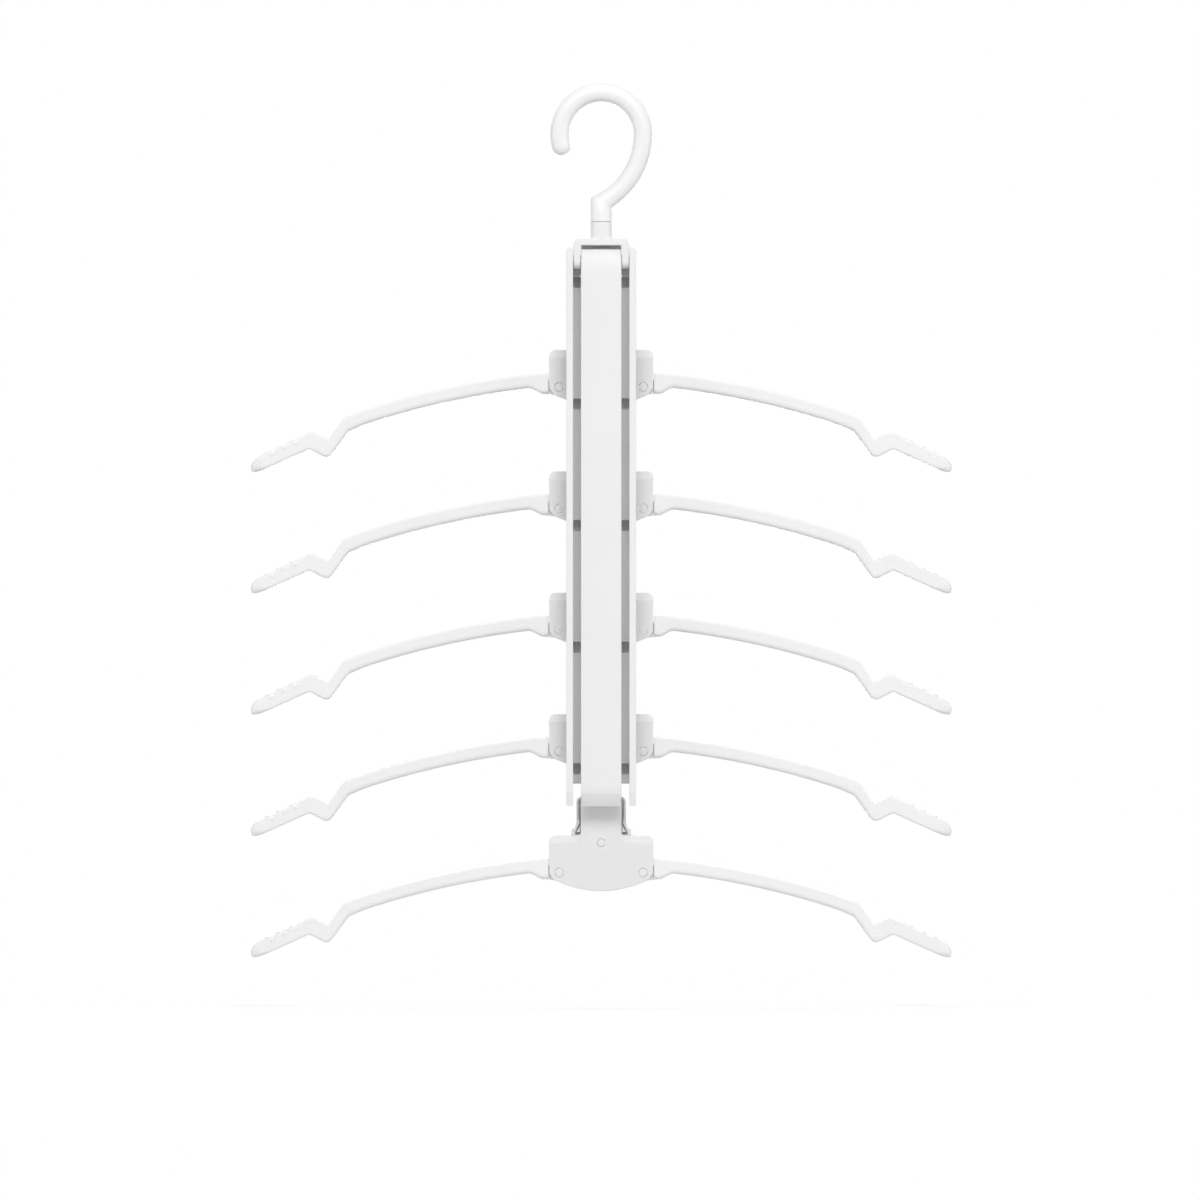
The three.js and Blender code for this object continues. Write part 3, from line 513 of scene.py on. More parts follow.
def rod_rings(x, z, heading, radius, mitre=None):
    """Circles square to a heading in the plane Y = 0, or slid along it into a plane with a given normal."""
    x, z, heading, radius = (np.atleast_1d(np.asarray(v, float))[:, None] for v in (x, z, heading, radius))
    turn = np.linspace(0, FULL, RING_COUNT, endpoint=False)[None]
    across = radius * np.cos(turn)
    side = radius * np.sin(turn)
    off_x = np.sin(heading) * across
    off_z = -np.cos(heading) * across
    if mitre is not None:
        reach = off_x * mitre[0] + off_z * mitre[1]
        slide = -reach / (np.cos(heading) * mitre[0] + np.sin(heading) * mitre[1])
        off_x = off_x + slide * np.cos(heading)
        off_z = off_z + slide * np.sin(heading)
    return np.stack([x + off_x, np.broadcast_to(side, off_x.shape), z + off_z], -1)


def blunted(ring, mitre):
    """A mitre ring with its outer corner pulled in to a reach, so that the elbow is not a sharp point."""
    outward = np.array([mitre[1], 0, -mitre[0]])
    reach = (ring - np.array([0, 0, elbow_z])) @ outward
    return ring - np.maximum(reach - ELBOW_REACH, 0)[..., None] * outward


def hook_shell():
    """Tip, loop, sweep, elbow, stem and spigot as one skin of circles."""
    lift_turn = np.linspace(QUARTER, 0, 10)[1:-1]
    back = ROD_R * np.sin(lift_turn)
    tip_x = LOOP_R * math.cos(TIP_TURN) - back * math.sin(TIP_TURN)
    tip_z = loop_z + LOOP_R * math.sin(TIP_TURN) + back * math.cos(TIP_TURN)
    tip = rod_rings(tip_x, tip_z, TIP_TURN - QUARTER, ROD_R * np.cos(lift_turn))
    turn = np.linspace(TIP_TURN, 0, 72)
    loop = rod_rings(LOOP_R * np.cos(turn), loop_z + LOOP_R * np.sin(turn), turn - QUARTER, ROD_R)
    turn = np.linspace(0, -sweep_turn, 34)[1:-4]
    across, rise = SWEEP_R * np.cos(turn), SWEEP_R * np.sin(turn)
    sweep = rod_rings(sweep_x + across, loop_z + rise, turn - QUARTER, ROD_R)
    arrive = -sweep_turn - QUARTER
    mitre = np.array([math.cos(arrive), math.sin(arrive) - 1])
    mitre /= np.linalg.norm(mitre)

    def mitred(offset, heading, radius):
        x, z = offset * math.cos(heading), elbow_z + offset * math.sin(heading)
        return rod_rings(x, z, heading, radius, mitre)

    elbow = [
        mitred(-ELBOW_SUPPORT, arrive, ROD_R),
        blunted(mitred(0, arrive, (ROD_R + STEM_R) / 2), mitre),
        mitred(ELBOW_SUPPORT, -QUARTER, STEM_R),
    ]
    heights = [*(seam_z + np.array([SEAM_SUPPORT, SEAM_EDGE, SEAM_CUT, 0, 0])), hook_low[2]]
    radii = [STEM_R, STEM_R, STEM_R - SEAM_CUT, STEM_R - SEAM_EDGE, SPIGOT_R, SPIGOT_R]
    stem = rod_rings(0, heights, -QUARTER, radii)
    return skin(np.concatenate([tip, loop, sweep, *elbow, stem]))


hook = piece("hook_rod", [hook_shell()], hook_satin, "hook", "hook", HOOK_CREASE)
print("hook:", len(hook.data.polygons), "faces")

# %% [markdown]
# ## The yoke
# Below the swivel seam the stem ends in a fork that straddles the front bar. Its bridge is a flat bar with
# cut corners. Its two legs start flush with the bridge's front, stand in the column's strips and are round
# at the foot, because the yoke tilts there.

# %% Yoke
BRIDGE_T = 3.7
YOKE_DEPTH = 10.0
CUT_W = 1.6
CUT_H = 3.2
FOOT_FILLET = 1.6
YOKE_FRONT_IN = 0.02
BRIDGE_EDGE = 0.35
FILLET_SUPPORT = 2.4
BRIDGE_FOOT_R = 0.4
CUT_LOW_R = 0.3
CUT_TOP_R = 0.8
LEG_GAP = 0.3
LEG_EDGE = 0.5
LEG_LAP = 1.0
FOOT_FLAT = 0.02
STEM_H = 9.4
STEM_LAP = 1.2
STEM_IN = 0.01
PIN_HOLE_R = 2.4
leg_outer = yoke_high[0]
leg_inner = bar_half + LEG_GAP
stem_top_z = yoke_high[2]
bridge_top_z = stem_top_z - STEM_H
bridge_foot_z = bridge_top_z - BRIDGE_T


def yoke_shells():
    """Bridge drawn from the front, legs drawn from the side, and a round stem with a small foot fillet."""
    half = YOKE_DEPTH / 2
    flush = STEM_R - YOKE_FRONT_IN
    bridge = rounded([
        (-leg_outer, bridge_foot_z, BRIDGE_FOOT_R),
        (leg_outer, bridge_foot_z, BRIDGE_FOOT_R),
        (leg_outer, bridge_top_z - CUT_H, CUT_LOW_R),
        (leg_outer - CUT_W, bridge_top_z, CUT_TOP_R),
        (CUT_W - leg_outer, bridge_top_z, CUT_TOP_R),
        (-leg_outer, bridge_top_z - CUT_H, CUT_LOW_R),
    ])
    leg = rounded([
        (-half, pivot_z - half, half - FOOT_FLAT),
        (half, pivot_z - half, half - FOOT_FLAT),
        (half, bridge_foot_z + LEG_LAP, BRIDGE_FOOT_R),
        (-flush, bridge_foot_z + LEG_LAP, 0.0),
    ], 14)
    hole = circle(0, pivot_z, PIN_HOLE_R)
    shells = [plate(bridge, -flush, half, "Y", BRIDGE_EDGE)]
    for low, high in ((-leg_outer, -leg_inner), (leg_inner, leg_outer)):
        shells.append(plate(leg, low, high, "X", LEG_EDGE, [hole]))
    fillet = np.linspace(0, QUARTER, 6)
    wide = [STEM_R + FOOT_FILLET, *(STEM_R + FOOT_FILLET * (1 - np.sin(fillet)))]
    rise = [bridge_top_z - STEM_LAP, *(bridge_top_z + FOOT_FILLET * (1 - np.cos(fillet)))]
    stem = [(x, STEM_R - STEM_IN, z) for x, z in zip(wide, rise)]
    rim = stem_top_z + SEAM_RIM
    plain = (bridge_top_z + FILLET_SUPPORT, rim - SEAM_SUPPORT - SEAM_RIM, rim - SEAM_EDGE)
    stem += [(STEM_R, STEM_R, z) for z in plain]
    stem += [(STEM_R - cut, STEM_R - cut, z) for cut, z in ((SEAM_CUT, rim - SEAM_CUT), (SEAM_EDGE, rim))]
    levels = [([circle(0, 0, 1, 40) * np.array([x, y])], z) for x, y, z in stem]
    shells.append(stack(levels, "Z"))
    return shells


yoke = piece("yoke_fork", yoke_shells(), yoke_satin, "yoke", "yoke")
print("yoke:", len(yoke.data.polygons), "faces")

# %% [markdown]
# ## The column
# The column is a channel of two rails and a floor between them, with a row of windows in the floor on both
# sides of the front bar. Behind each window a lug carries the pin that a tier swings on. The rails are
# stacks of level slices, the floor and the lugs are plates with round edges, and the windows are holes.

# %% Column channel
COLUMN_D = 14.0
STRIP_W = 4.5
FLOOR_T = 2.0
WINDOW_H = 6.2
WINDOW_RISE = 59.4
WINDOW_R = 0.8
RAIL_TOP_R = 2.6
RAIL_FOOT_R = 1.4
RAIL_HEEL_H = 8.0
RAIL_HEEL_D = 2.4
RAIL_EDGE = 0.6
RAIL_EDGE_SHARE = 0.4
RAIL_SUPPORT = 1.0
LUG_EDGE = 0.25
WALL_EDGE = 0.2
FLOOR_EDGE = 0.3
TAB_EDGE = 0.4
JOIN_EDGE = 0.05
LUG_R = 3.8
LUG_WALL = 1.5
LUG_IN = 0.4
LUG_FLAT = 0.1
POCKET_D = 4.0
EYE_TOP = 5.6
HOOD_IN = 0.03
FLOOR_UP = 13.0
FLOOR_DOWN = 4.0
FLOOR_LAP = 1.0
WINDOW_IN = 0.1
TAB_R = 1.0
CLEAR = 0.02
LAST_LUG_DROP = 0.6
LUG_CORNER_R = 0.8
PIN_BORE_R = 1.9
RAIL_GAP = 1.2
HEEL_BREAK = 0.25
rail_outer = channel_high[0]
rail_inner = bar_half + STRIP_W
rail_top_z = bridge_foot_z - RAIL_GAP
rail_foot_z = channel_low[2]
column_front = channel_low[1]
column_back = column_front + COLUMN_D
floor_front = column_back - FLOOR_T
floor_top_z = rail_top_z - FLOOR_DOWN
floor_foot_z = rail_foot_z + FLOOR_UP
stop_top_z = channel_high[2]
lug_inner = bar_half - LUG_IN
lug_outer = rail_inner + LUG_WALL
pocket_floor = column_back + POCKET_D
pocket_back = pocket_floor + LUG_WALL


def rail_shell():
    """The right rail as level slices that narrow round the top and lean back at the foot."""
    turn = np.linspace(0, QUARTER, 8)
    foot = rail_foot_z + RAIL_FOOT_R * (1 - np.cos(turn))
    levels_above = RAIL_HEEL_H + np.array([-HEEL_BREAK, HEEL_BREAK, 4 * HEEL_BREAK])
    heel = rail_foot_z + np.array([2.5, 4.5, 6.5, *levels_above])
    top = rail_top_z - RAIL_TOP_R * (1 - np.sin(turn))
    heights = np.concatenate([foot, heel, [top[0] - RAIL_SUPPORT], top])
    outer = np.full(len(heights), rail_outer)
    outer[:len(turn)] -= RAIL_FOOT_R * (1 - np.sin(turn))
    outer[-len(turn):] -= RAIL_TOP_R * (1 - np.cos(turn))
    front = column_front + RAIL_HEEL_D * np.clip(1 - (heights - rail_foot_z) / RAIL_HEEL_H, 0, 1)
    levels = []
    for x, y, z in zip(outer, front, heights):
        edge = min(RAIL_EDGE, RAIL_EDGE_SHARE * (x - rail_inner))
        corners = oblong(rail_inner, x, y, column_back)
        levels.append(([rounded([(*corner, edge) for corner in corners])], z))
    return stack(levels, "Z")


def window_loop(side, tier):
    """A window in the floor, one strip wide, with round corners."""
    middle = tier_z[tier] + WINDOW_RISE
    near, far = bar_half + WINDOW_IN, rail_inner - WINDOW_IN
    low, high = middle - WINDOW_H / 2, middle + WINDOW_H / 2
    a, b = sorted((side * near, side * far))
    return rounded([(*corner, WINDOW_R) for corner in oblong(a, b, low, high)], 4)


def lug_shells(tier):
    """A right lug: a round-ended block for the pin, and a hood and a plate that close the window behind."""
    window_foot = tier_z[tier] + WINDOW_RISE - WINDOW_H / 2
    window_top = window_foot + WINDOW_H
    eye_top = hinge_z[tier] + EYE_TOP
    foot = max(hinge_z[tier] - LUG_R, floor_foot_z - LAST_LUG_DROP)
    back = hinge_y + LUG_R
    root = column_back - LAP
    eye = rounded([
        (root, foot, 0.0),
        (back, foot, LUG_R - LUG_FLAT),
        (back, eye_top, LUG_CORNER_R),
        (pocket_floor, eye_top, 0.0),
        (pocket_floor, window_foot, 0.0),
        (root, window_foot, 0.0),
    ], 8)
    hole = circle(hinge_y, hinge_z[tier], PIN_BORE_R, 24)
    pocket_top = window_top + LUG_WALL
    left, right = lug_inner + HOOD_IN, lug_outer - HOOD_IN
    near, far = bar_half + CLEAR, rail_inner + CLEAR
    low = window_foot - FLOOR_LAP
    hood = np.array([
        (left, low), (near, low), (near, window_top), (far, window_top),
        (far, low), (right, low), (right, pocket_top), (left, pocket_top),
    ])
    back_wall = oblong(pocket_floor + HOOD_IN, pocket_back, eye_top - LAP, pocket_top + HOOD_IN)
    return [
        plate(eye, lug_inner, lug_outer, "X", LUG_EDGE, [hole]),
        plate(hood, root, pocket_floor + LAP, "Y", JOIN_EDGE),
        plate(back_wall, lug_inner, lug_outer, "X", WALL_EDGE),
    ]


def channel_shells():
    """Both rails, the floor with its windows and its stop tab behind the yoke, and all the lugs."""
    reach = rail_inner + FLOOR_LAP
    floor = oblong(-reach, reach, floor_foot_z, floor_top_z)
    tab = rounded([
        (-bar_half, floor_top_z - FLOOR_LAP, 0.0),
        (bar_half, floor_top_z - FLOOR_LAP, 0.0),
        (bar_half, stop_top_z, TAB_R),
        (-bar_half, stop_top_z, TAB_R),
    ])
    windows = [window_loop(side, tier) for tier in TIERS for side in SIDES.values()]
    right = [rail_shell()]
    for tier in TIERS:
        right += lug_shells(tier)
    floor_shell = plate(floor, floor_front, column_back, "Y", FLOOR_EDGE, windows)
    return [floor_shell, plate(tab, floor_front, column_back, "Y", TAB_EDGE), *right, *mirrored(right)]


channel = piece("channel_rails", channel_shells(), bar_matt, "column", "column_channel")
print("channel:", len(channel.data.polygons), "faces")

# %% [markdown]
# ## The front bar
# The bar between the strips is drawn from the side: its crown leans back under the yoke's bridge along a
# quarter ellipse, and its heel tucks under in a soft curve and a flat bevel. Carried across its width, with
# the edge radius of a moulded cover, it gives the long soft edges that the light runs along.

# %% Front bar
CROWN_H = 15.0
CROWN_D = 4.5
HEEL_H = 7.0
HEEL_D = 6.0
TUCK_H = 4.5
TUCK_D = 0.9
BAR_EDGE = 0.9
NIB_H = 1.4
NIB_L = 4.0
NIB_DROP = 15.6
NIB_IN = 0.5
NIB_ROOT = 0.5
NIB_EDGE = 0.08


def bar_shell():
    """The side outline, against the clock seen from +X, carried from one side to the other."""
    front, back = bar_low[1], bar_high[1]
    top, foot = bar_high[2], bar_low[2]
    heel_z = foot + HEEL_H
    turn = np.linspace(QUARTER, math.pi, 14)
    crown = np.stack([front + CROWN_D * (1 + np.cos(turn)), top - CROWN_H * (1 - np.sin(turn))], 1)
    tuck = bend((front, heel_z + TUCK_H), (front, heel_z + TUCK_H / 2), (front + TUCK_D, heel_z), 10)
    heel = np.array([[front + TUCK_D + HEEL_D, foot], [back, foot], [back, top]])
    outline = np.concatenate([crown, tuck, heel])
    return plate(outline, -bar_half, bar_half, "X", BAR_EDGE)


def nib_shell():
    """A small catch on the bar's right side, just below the yoke's leg."""
    middle = bar_high[2] - NIB_DROP
    root = bar_half - NIB_ROOT
    low, high = middle - NIB_H / 2, middle + NIB_H / 2
    outline = np.array([(root, low), (bar_half + NIB_OUT, middle), (root, high)])
    nib_front = bar_low[1] + NIB_IN
    return plate(outline, nib_front, nib_front + NIB_L, "Y", NIB_EDGE)


bar_shells = [bar_shell(), nib_shell(), *mirrored([nib_shell()])]
bar = piece("centre_bar", bar_shells, bar_matt, "column", "front_bar")
print("bar:", len(bar.data.polygons), "faces")

# %% [markdown]
# ## The brackets
# Each tier hangs on a bracket of two shells riveted together. The front shell is a plate with two ears and a
# neck; the tops of its ears lean back in a broad bevel, so there the face loop is drawn lower than the
# outline behind it. The rear shell has a wider neck with round shoulders, and a barrel for the swing pin.

# %% Brackets
PLATE_T = 2.2
EAR_CORNER_R = 3.7
EAR_FOOT_DROP = 3.9
EAR_FOOT_IN = 2.3
EAR_SIDE_DROP = 0.6
PLATE_DROP = 10.5
PLATE_RISE = 21.2
EAR_BEVEL_H = 3.9
EAR_BEVEL_D = 1.15
FRONT_NECK_HALF = 11.6
FRONT_NECK_RISE = 40.0
NECK_FILLET = 2.0
REAR_NECK_HALF = 14.1
REAR_NECK_RISE = 43.5
REAR_NECK_R = 3.4
FLARE_W = 2.9
FLARE_H = 9.4
FLARE_FOOT = 3.4
TRAY_D = 2.8
TRAY_WALL = 1.2
WEDGE_FOOT = (14.4, 1.9)
WEDGE_TOP = (11.7, 7.0)
WEDGE_GAP = 0.5
SPACER_DROP = 5.0
RIM_W = 2.2
RIM_FOOT = 8.6
RIVET_RISE = 17.1
RIVET_R = 2.2
HOLE_GAP = 0.13
SHELL_GAP = 0.3
BARREL_R = 3.4
TONGUE_HALF = 10.7
TONGUE_STEP = 0.05
NECK_STEP = 1.0
TOP_HALF = 0.5
FACE_EDGE = 0.5
BACK_EDGE = 0.2
RIM_EDGE = 0.25
BEVEL_LAP = 0.1
BRIM_IN = 0.14
NECK_TOP_R = 1.0
EAR_CUT = (0.7, 1.0)
TRAY_FOOT = 0.8
TRAY_LAP = 0.5
TRAY_EDGE = 0.15
WEDGE_IN = 0.1
REAR_EDGE = 0.9
NECK_EDGE = 0.35
EAR_RIM_EDGE = 0.12
BARREL_EDGE = 0.4
bracket_low, bracket_high = span("bracket_front_1")
rear_high = span("bracket_rear_1")[1]
ear_x = bracket_high[0]
plate_front = bracket_low[1]
plate_back = plate_front + PLATE_T
rear_back = rear_high[1]
rear_front = rear_back - PLATE_T
neck_front = plate_back + SHELL_GAP
neck_back = hinge_y + BARREL_R
hinge_rise = hinge_z[1] - tier_z[1]


def ear_side():
    """The right half of the lower outline, from the middle of the bow to the top of the ear."""
    foot_x = ear_x - EAR_FOOT_IN
    x = np.linspace(0, foot_x, 16)
    bow = np.stack([x, -PLATE_DROP + (PLATE_DROP - EAR_FOOT_DROP) * (x / foot_x) ** 2], 1)
    turn = np.linspace(0, QUARTER, 9)
    corner = arc((ear_x - EAR_CORNER_R, PLATE_RISE - EAR_CORNER_R), EAR_CORNER_R, turn)
    side = np.array([[ear_x - EAR_CUT[0], -EAR_SIDE_DROP - EAR_CUT[1]], [ear_x, -EAR_SIDE_DROP]])
    return np.concatenate([bow, side, corner])


def whole(right):
    """A closed outline from its right half, mirrored; the half starts on the middle line."""
    return np.concatenate([right, right[:0:-1] * np.array([-1, 1])])


def front_outline():
    """Ears, neck fillets and neck of the front shell."""
    turn = np.linspace(-QUARTER, -math.pi, 6)
    fillet = arc((FRONT_NECK_HALF + NECK_FILLET, PLATE_RISE + NECK_FILLET), NECK_FILLET, turn)
    top = (FRONT_NECK_HALF - NECK_TOP_R, FRONT_NECK_RISE - NECK_TOP_R)
    round_off = arc(top, NECK_TOP_R, np.linspace(0, QUARTER, 5))
    return whole(np.concatenate([ear_side(), fillet, round_off]))


def holes():
    """The two arm-pin holes and the rivet hole."""
    pins = [circle(side * pin_x, 0, pin_r + HOLE_GAP) for side in SIDES.values()]
    return [*pins, circle(0, RIVET_RISE, RIVET_R + HOLE_GAP)]


def front_shell():
    """The front plate: the face loop drops below the ear tops, and the bevel runs from it to the outline."""
    outline = front_outline()
    x, z = outline.T
    beside_neck = np.clip((np.abs(x) - FRONT_NECK_HALF) / NECK_FILLET, 0, 1)
    bevel_foot = PLATE_RISE - EAR_CORNER_R - BEVEL_LAP
    on_ear = np.clip((z - bevel_foot) / EAR_CORNER_R, 0, 1) * (z < PLATE_RISE + NECK_FILLET)
    face = outline - np.stack([0 * x, EAR_BEVEL_H * beside_neck * on_ear], 1)
    openings = [hole[::-1] for hole in holes()]
    rim = [inset(hole, RIM_EDGE) for hole in openings]
    brim = plate_front + EAR_BEVEL_D

    def level(loop, height, opened):
        return [loop, *(rim if opened else openings)], height

    levels = [
        level(inset(face, FACE_EDGE + SUPPORT), plate_front, True),
        level(inset(face, FACE_EDGE), plate_front, True),
        level(inset(face, FACE_EDGE * 0.55), plate_front + FACE_EDGE * 0.16, True),
        level(inset(face, FACE_EDGE * 0.2), plate_front + FACE_EDGE * 0.5, False),
        level(inset(outline, BRIM_IN), brim - SUPPORT, False),
        level(outline, brim, False),
        level(outline, plate_back - BACK_EDGE, False),
        level(inset(outline, BACK_EDGE), plate_back, False),
        level(inset(outline, BACK_EDGE + SUPPORT), plate_back, False),
    ]
    return stack(levels, "Y")


def rear_shells():
    """Rear plate, neck with flared foot and round shoulders, spacer, ear rims and the pin barrel."""
    plate_outline = whole(np.concatenate([ear_side(), [[TOP_HALF, PLATE_RISE]]]))
    flare_foot, flare_top = PLATE_RISE + FLARE_FOOT, PLATE_RISE + FLARE_H
    flare_start = (REAR_NECK_HALF + FLARE_W, flare_foot)
    flare = bend(flare_start, (REAR_NECK_HALF, flare_foot), (REAR_NECK_HALF, flare_top), 8)
    turn = np.linspace(0, QUARTER, 8)
    centre = (REAR_NECK_HALF - REAR_NECK_R, REAR_NECK_RISE - REAR_NECK_R)
    shoulder = arc(centre, REAR_NECK_R, turn)
    right = np.concatenate([
        [[0, -SPACER_DROP], [REAR_NECK_HALF, -SPACER_DROP], [REAR_NECK_HALF, PLATE_RISE - NECK_STEP]],
        [[REAR_NECK_HALF + FLARE_W, PLATE_RISE - TRAY_FOOT]],
        flare,
        shoulder,
        [[TONGUE_HALF, REAR_NECK_RISE + TONGUE_STEP], [TONGUE_HALF, hinge_rise]],
    ])
    neck = whole(right)
    spacer = oblong(-REAR_NECK_HALF, REAR_NECK_HALF, -SPACER_DROP, PLATE_RISE - LAP)
    rivet_hole = holes()[2:]
    shells = [
        plate(plate_outline, rear_front, rear_back, "Y", REAR_EDGE, holes()),
        plate(neck, neck_front + TRAY_D, neck_back, "Y", NECK_EDGE, rivet_hole),
        plate(spacer, neck_back - LAP, rear_front + LAP, "Y", JOIN_EDGE, rivet_hole),
    ]
    wall = slice(3, len(right) - 1)
    slot_x = REAR_NECK_HALF - TRAY_WALL
    slot = [
        *arc(centre, REAR_NECK_R - TRAY_WALL, turn)[::-1],
        (slot_x, flare_top + NECK_STEP),
        (WEDGE_TOP[0] + WEDGE_GAP, PLATE_RISE + WEDGE_TOP[1] + WEDGE_GAP),
        (WEDGE_FOOT[0] + WEDGE_GAP, PLATE_RISE + WEDGE_FOOT[1]),
        (WEDGE_FOOT[0] + WEDGE_GAP, PLATE_RISE + WEDGE_GAP),
        (WEDGE_TOP[0], PLATE_RISE + WEDGE_GAP),
        (WEDGE_TOP[0], PLATE_RISE - TRAY_FOOT),
    ]
    rim = np.concatenate([neck[wall], slot])
    wedge = rounded([
        (WEDGE_TOP[0], PLATE_RISE + WEDGE_FOOT[1], 0.1),
        (WEDGE_FOOT[0], PLATE_RISE + WEDGE_FOOT[1], 0.15),
        (WEDGE_TOP[0], PLATE_RISE + WEDGE_TOP[1], 0.15),
    ])
    wall_back = neck_front + TRAY_D + TRAY_LAP
    walls = [plate(rim, neck_front, wall_back, "Y", TRAY_EDGE)]
    walls.append(plate(wedge, neck_front + WEDGE_IN, wall_back, "Y", TRAY_EDGE))
    shells += [*walls, *mirrored(walls)]
    for side in SIDES.values():
        inner = ear_x - RIM_W
        corners = [
            (REAR_NECK_HALF - LAP, PLATE_RISE - RIM_W, 0.0),
            (inner, PLATE_RISE - RIM_W, 1.4),
            (inner, RIM_FOOT, 0.3),
            (ear_x, RIM_FOOT, 0.5),
            (ear_x, PLATE_RISE, EAR_CORNER_R),
            (REAR_NECK_HALF - LAP, PLATE_RISE, 0.0),
        ]
        if side < 0:
            corners = [(-x, z, r) for x, z, r in corners[::-1]]
        shells.append(plate(rounded(corners, 8), neck_front, rear_front + REAR_EDGE, "Y", EAR_RIM_EDGE))
    barrel = circle(hinge_y, hinge_rise, BARREL_R, 40)
    bore = circle(hinge_y, hinge_rise, PIN_BORE_R, 24)
    shells.append(plate(barrel, -TONGUE_HALF, TONGUE_HALF, "X", BARREL_EDGE, [bore]))
    return shells


DOME_H = 0.35
DOME_START = 1.4
HEAD_IN = 0.1


def pin_shell(x, z, radius):
    """A pin with a slightly domed head at both ends."""
    dome = [(radius * math.cos(t), DOME_H * (1 - math.sin(t))) for t in np.linspace(DOME_START, 0, 6)]
    front = [(r, plate_front + HEAD_IN + h) for r, h in dome]
    back = [(r, rear_back - HEAD_IN - h) for r, h in dome[::-1]]
    return turned(front + back, (x, z), "Y", 32)


for tier in TIERS:
    body = f"tier_{tier}"
    z = tier_z[tier]
    front_name, rear_name = f"bracket_front_{tier}", f"bracket_rear_{tier}"
    piece(f"{body}_front_shell", moved([front_shell()], z), shell_matt, body, front_name)
    piece(f"{body}_rear_shell", moved(rear_shells(), z), shell_matt, body, rear_name)
    rivet = moved([pin_shell(0, RIVET_RISE, RIVET_R)], z)
    piece(f"{body}_rivet", rivet, pin_satin, body, f"bracket_rivet_{tier}")
    for name, side in SIDES.items():
        pin = moved([pin_shell(side * pin_x, 0, pin_r)], z)
        piece(f"{body}_{name}_pin", pin, pin_satin, body, f"arm_pin_{name}_{tier}")
print("brackets:", len(TIERS), "of each shell")

# %% [markdown]
# ## The arms
# An arm is drawn by its upper and lower edge: a long arc from the bracket, a strap notch, and a straight
# paddle with small nubs that keep straps from sliding. Each corner of an edge has a point a little before
# and after it, and cutting the corners again and again at a quarter of each side makes it round. Between
# the two edges stands a section with flat sides, which grows round towards the tip. The nubs are low domes
# added along the surface's normal.

# %% Arm edges
ARM_REACH = 200.3
ROOT_X = ear_x + 0.4
ROOT_RISE = 4.5
ROOT_SLOPE = math.radians(5.2)
SHOULDER_R = 476.0
SHOULDER_END = 136.0
ARM_DEPTH = 7.7
ROOT_RUN = 14
ROOT_STEP = 4
ROOT_EDGE = 0.7
STATION_STEP = 3
GUSSET_H = 4.3
GUSSET_L = 12.0
GUSSET_FLAT = 3.2
TOP_CORNERS = [(147.0, -17.7, 3.5), (155.4, -29.9, 1.4), (164.8, -25.2, 4.5)]
FOOT_CORNERS = [(144.0, -25.1, 3.0), (155.6, -40.9, 8.0), (166.4, -35.2, 2.5)]
TOP_FALL = 0.475
FOOT_FALL = 0.451
TIP_LEAN = 2.0
TIP_ROUND = 7.5
TIP_SAG = 0.5


def smooth(x, low, high):
    """Rises from 0 to 1 between two values, level at both ends."""
    t = np.clip((x - low) / (high - low), 0, 1)
    return t * t * (3 - 2 * t)


def cut_corners(points, rounds):
    """Corner cutting with the ends kept: each side keeps its points at a quarter and three quarters."""
    for _ in range(rounds):
        near = 0.75 * points[:-1] + 0.25 * points[1:]
        far = 0.25 * points[:-1] + 0.75 * points[1:]
        pairs = np.stack([near, far], 1).reshape(-1, 2)
        points = np.concatenate([points[:1], pairs, points[-1:]])
    return points


def shoulder_edges():
    """Both edges of the shoulder: half the depth to each side of an arc, with a gusset below the root."""
    root_end = ROOT_X + ROOT_RUN
    outer = np.linspace(root_end + ROOT_STEP, SHOULDER_END, 16)
    x = np.concatenate([np.linspace(ROOT_X, root_end, 14), outer])
    heading = np.arcsin(math.sin(ROOT_SLOPE) + (x - ROOT_X) / SHOULDER_R)
    middle = np.stack([x, ROOT_RISE - SHOULDER_R * (math.cos(ROOT_SLOPE) - np.cos(heading))], 1)
    lean = heading * smooth(x, ROOT_X, ROOT_X + GUSSET_FLAT)
    upward = np.stack([np.sin(lean), np.cos(lean)], 1)
    gusset = GUSSET_H * (1 - smooth(x, ROOT_X + GUSSET_FLAT, ROOT_X + GUSSET_L))
    return middle + upward * ARM_DEPTH / 2, middle - upward * (ARM_DEPTH / 2 + gusset)[:, None]


def edge_line(start, corners, fall, end_x):
    """An edge from the shoulder through corners (x, z, reach), then straight down a slope to its end."""
    x, z, _ = corners[-1]
    end = np.array([end_x, z - fall * (end_x - x)])
    spots = np.array([start[-1], *[corner[:2] for corner in corners], end])
    made = [start]
    for i, (_, _, reach) in enumerate(corners, 1):
        back = spots[i - 1] - spots[i]
        ahead = spots[i + 1] - spots[i]
        before = spots[i] + reach * back / np.linalg.norm(back)
        after = spots[i] + reach * ahead / np.linalg.norm(ahead)
        made.append(np.stack([before, spots[i], after]))
    made.append(end[None])
    return cut_corners(np.concatenate(made), 3)


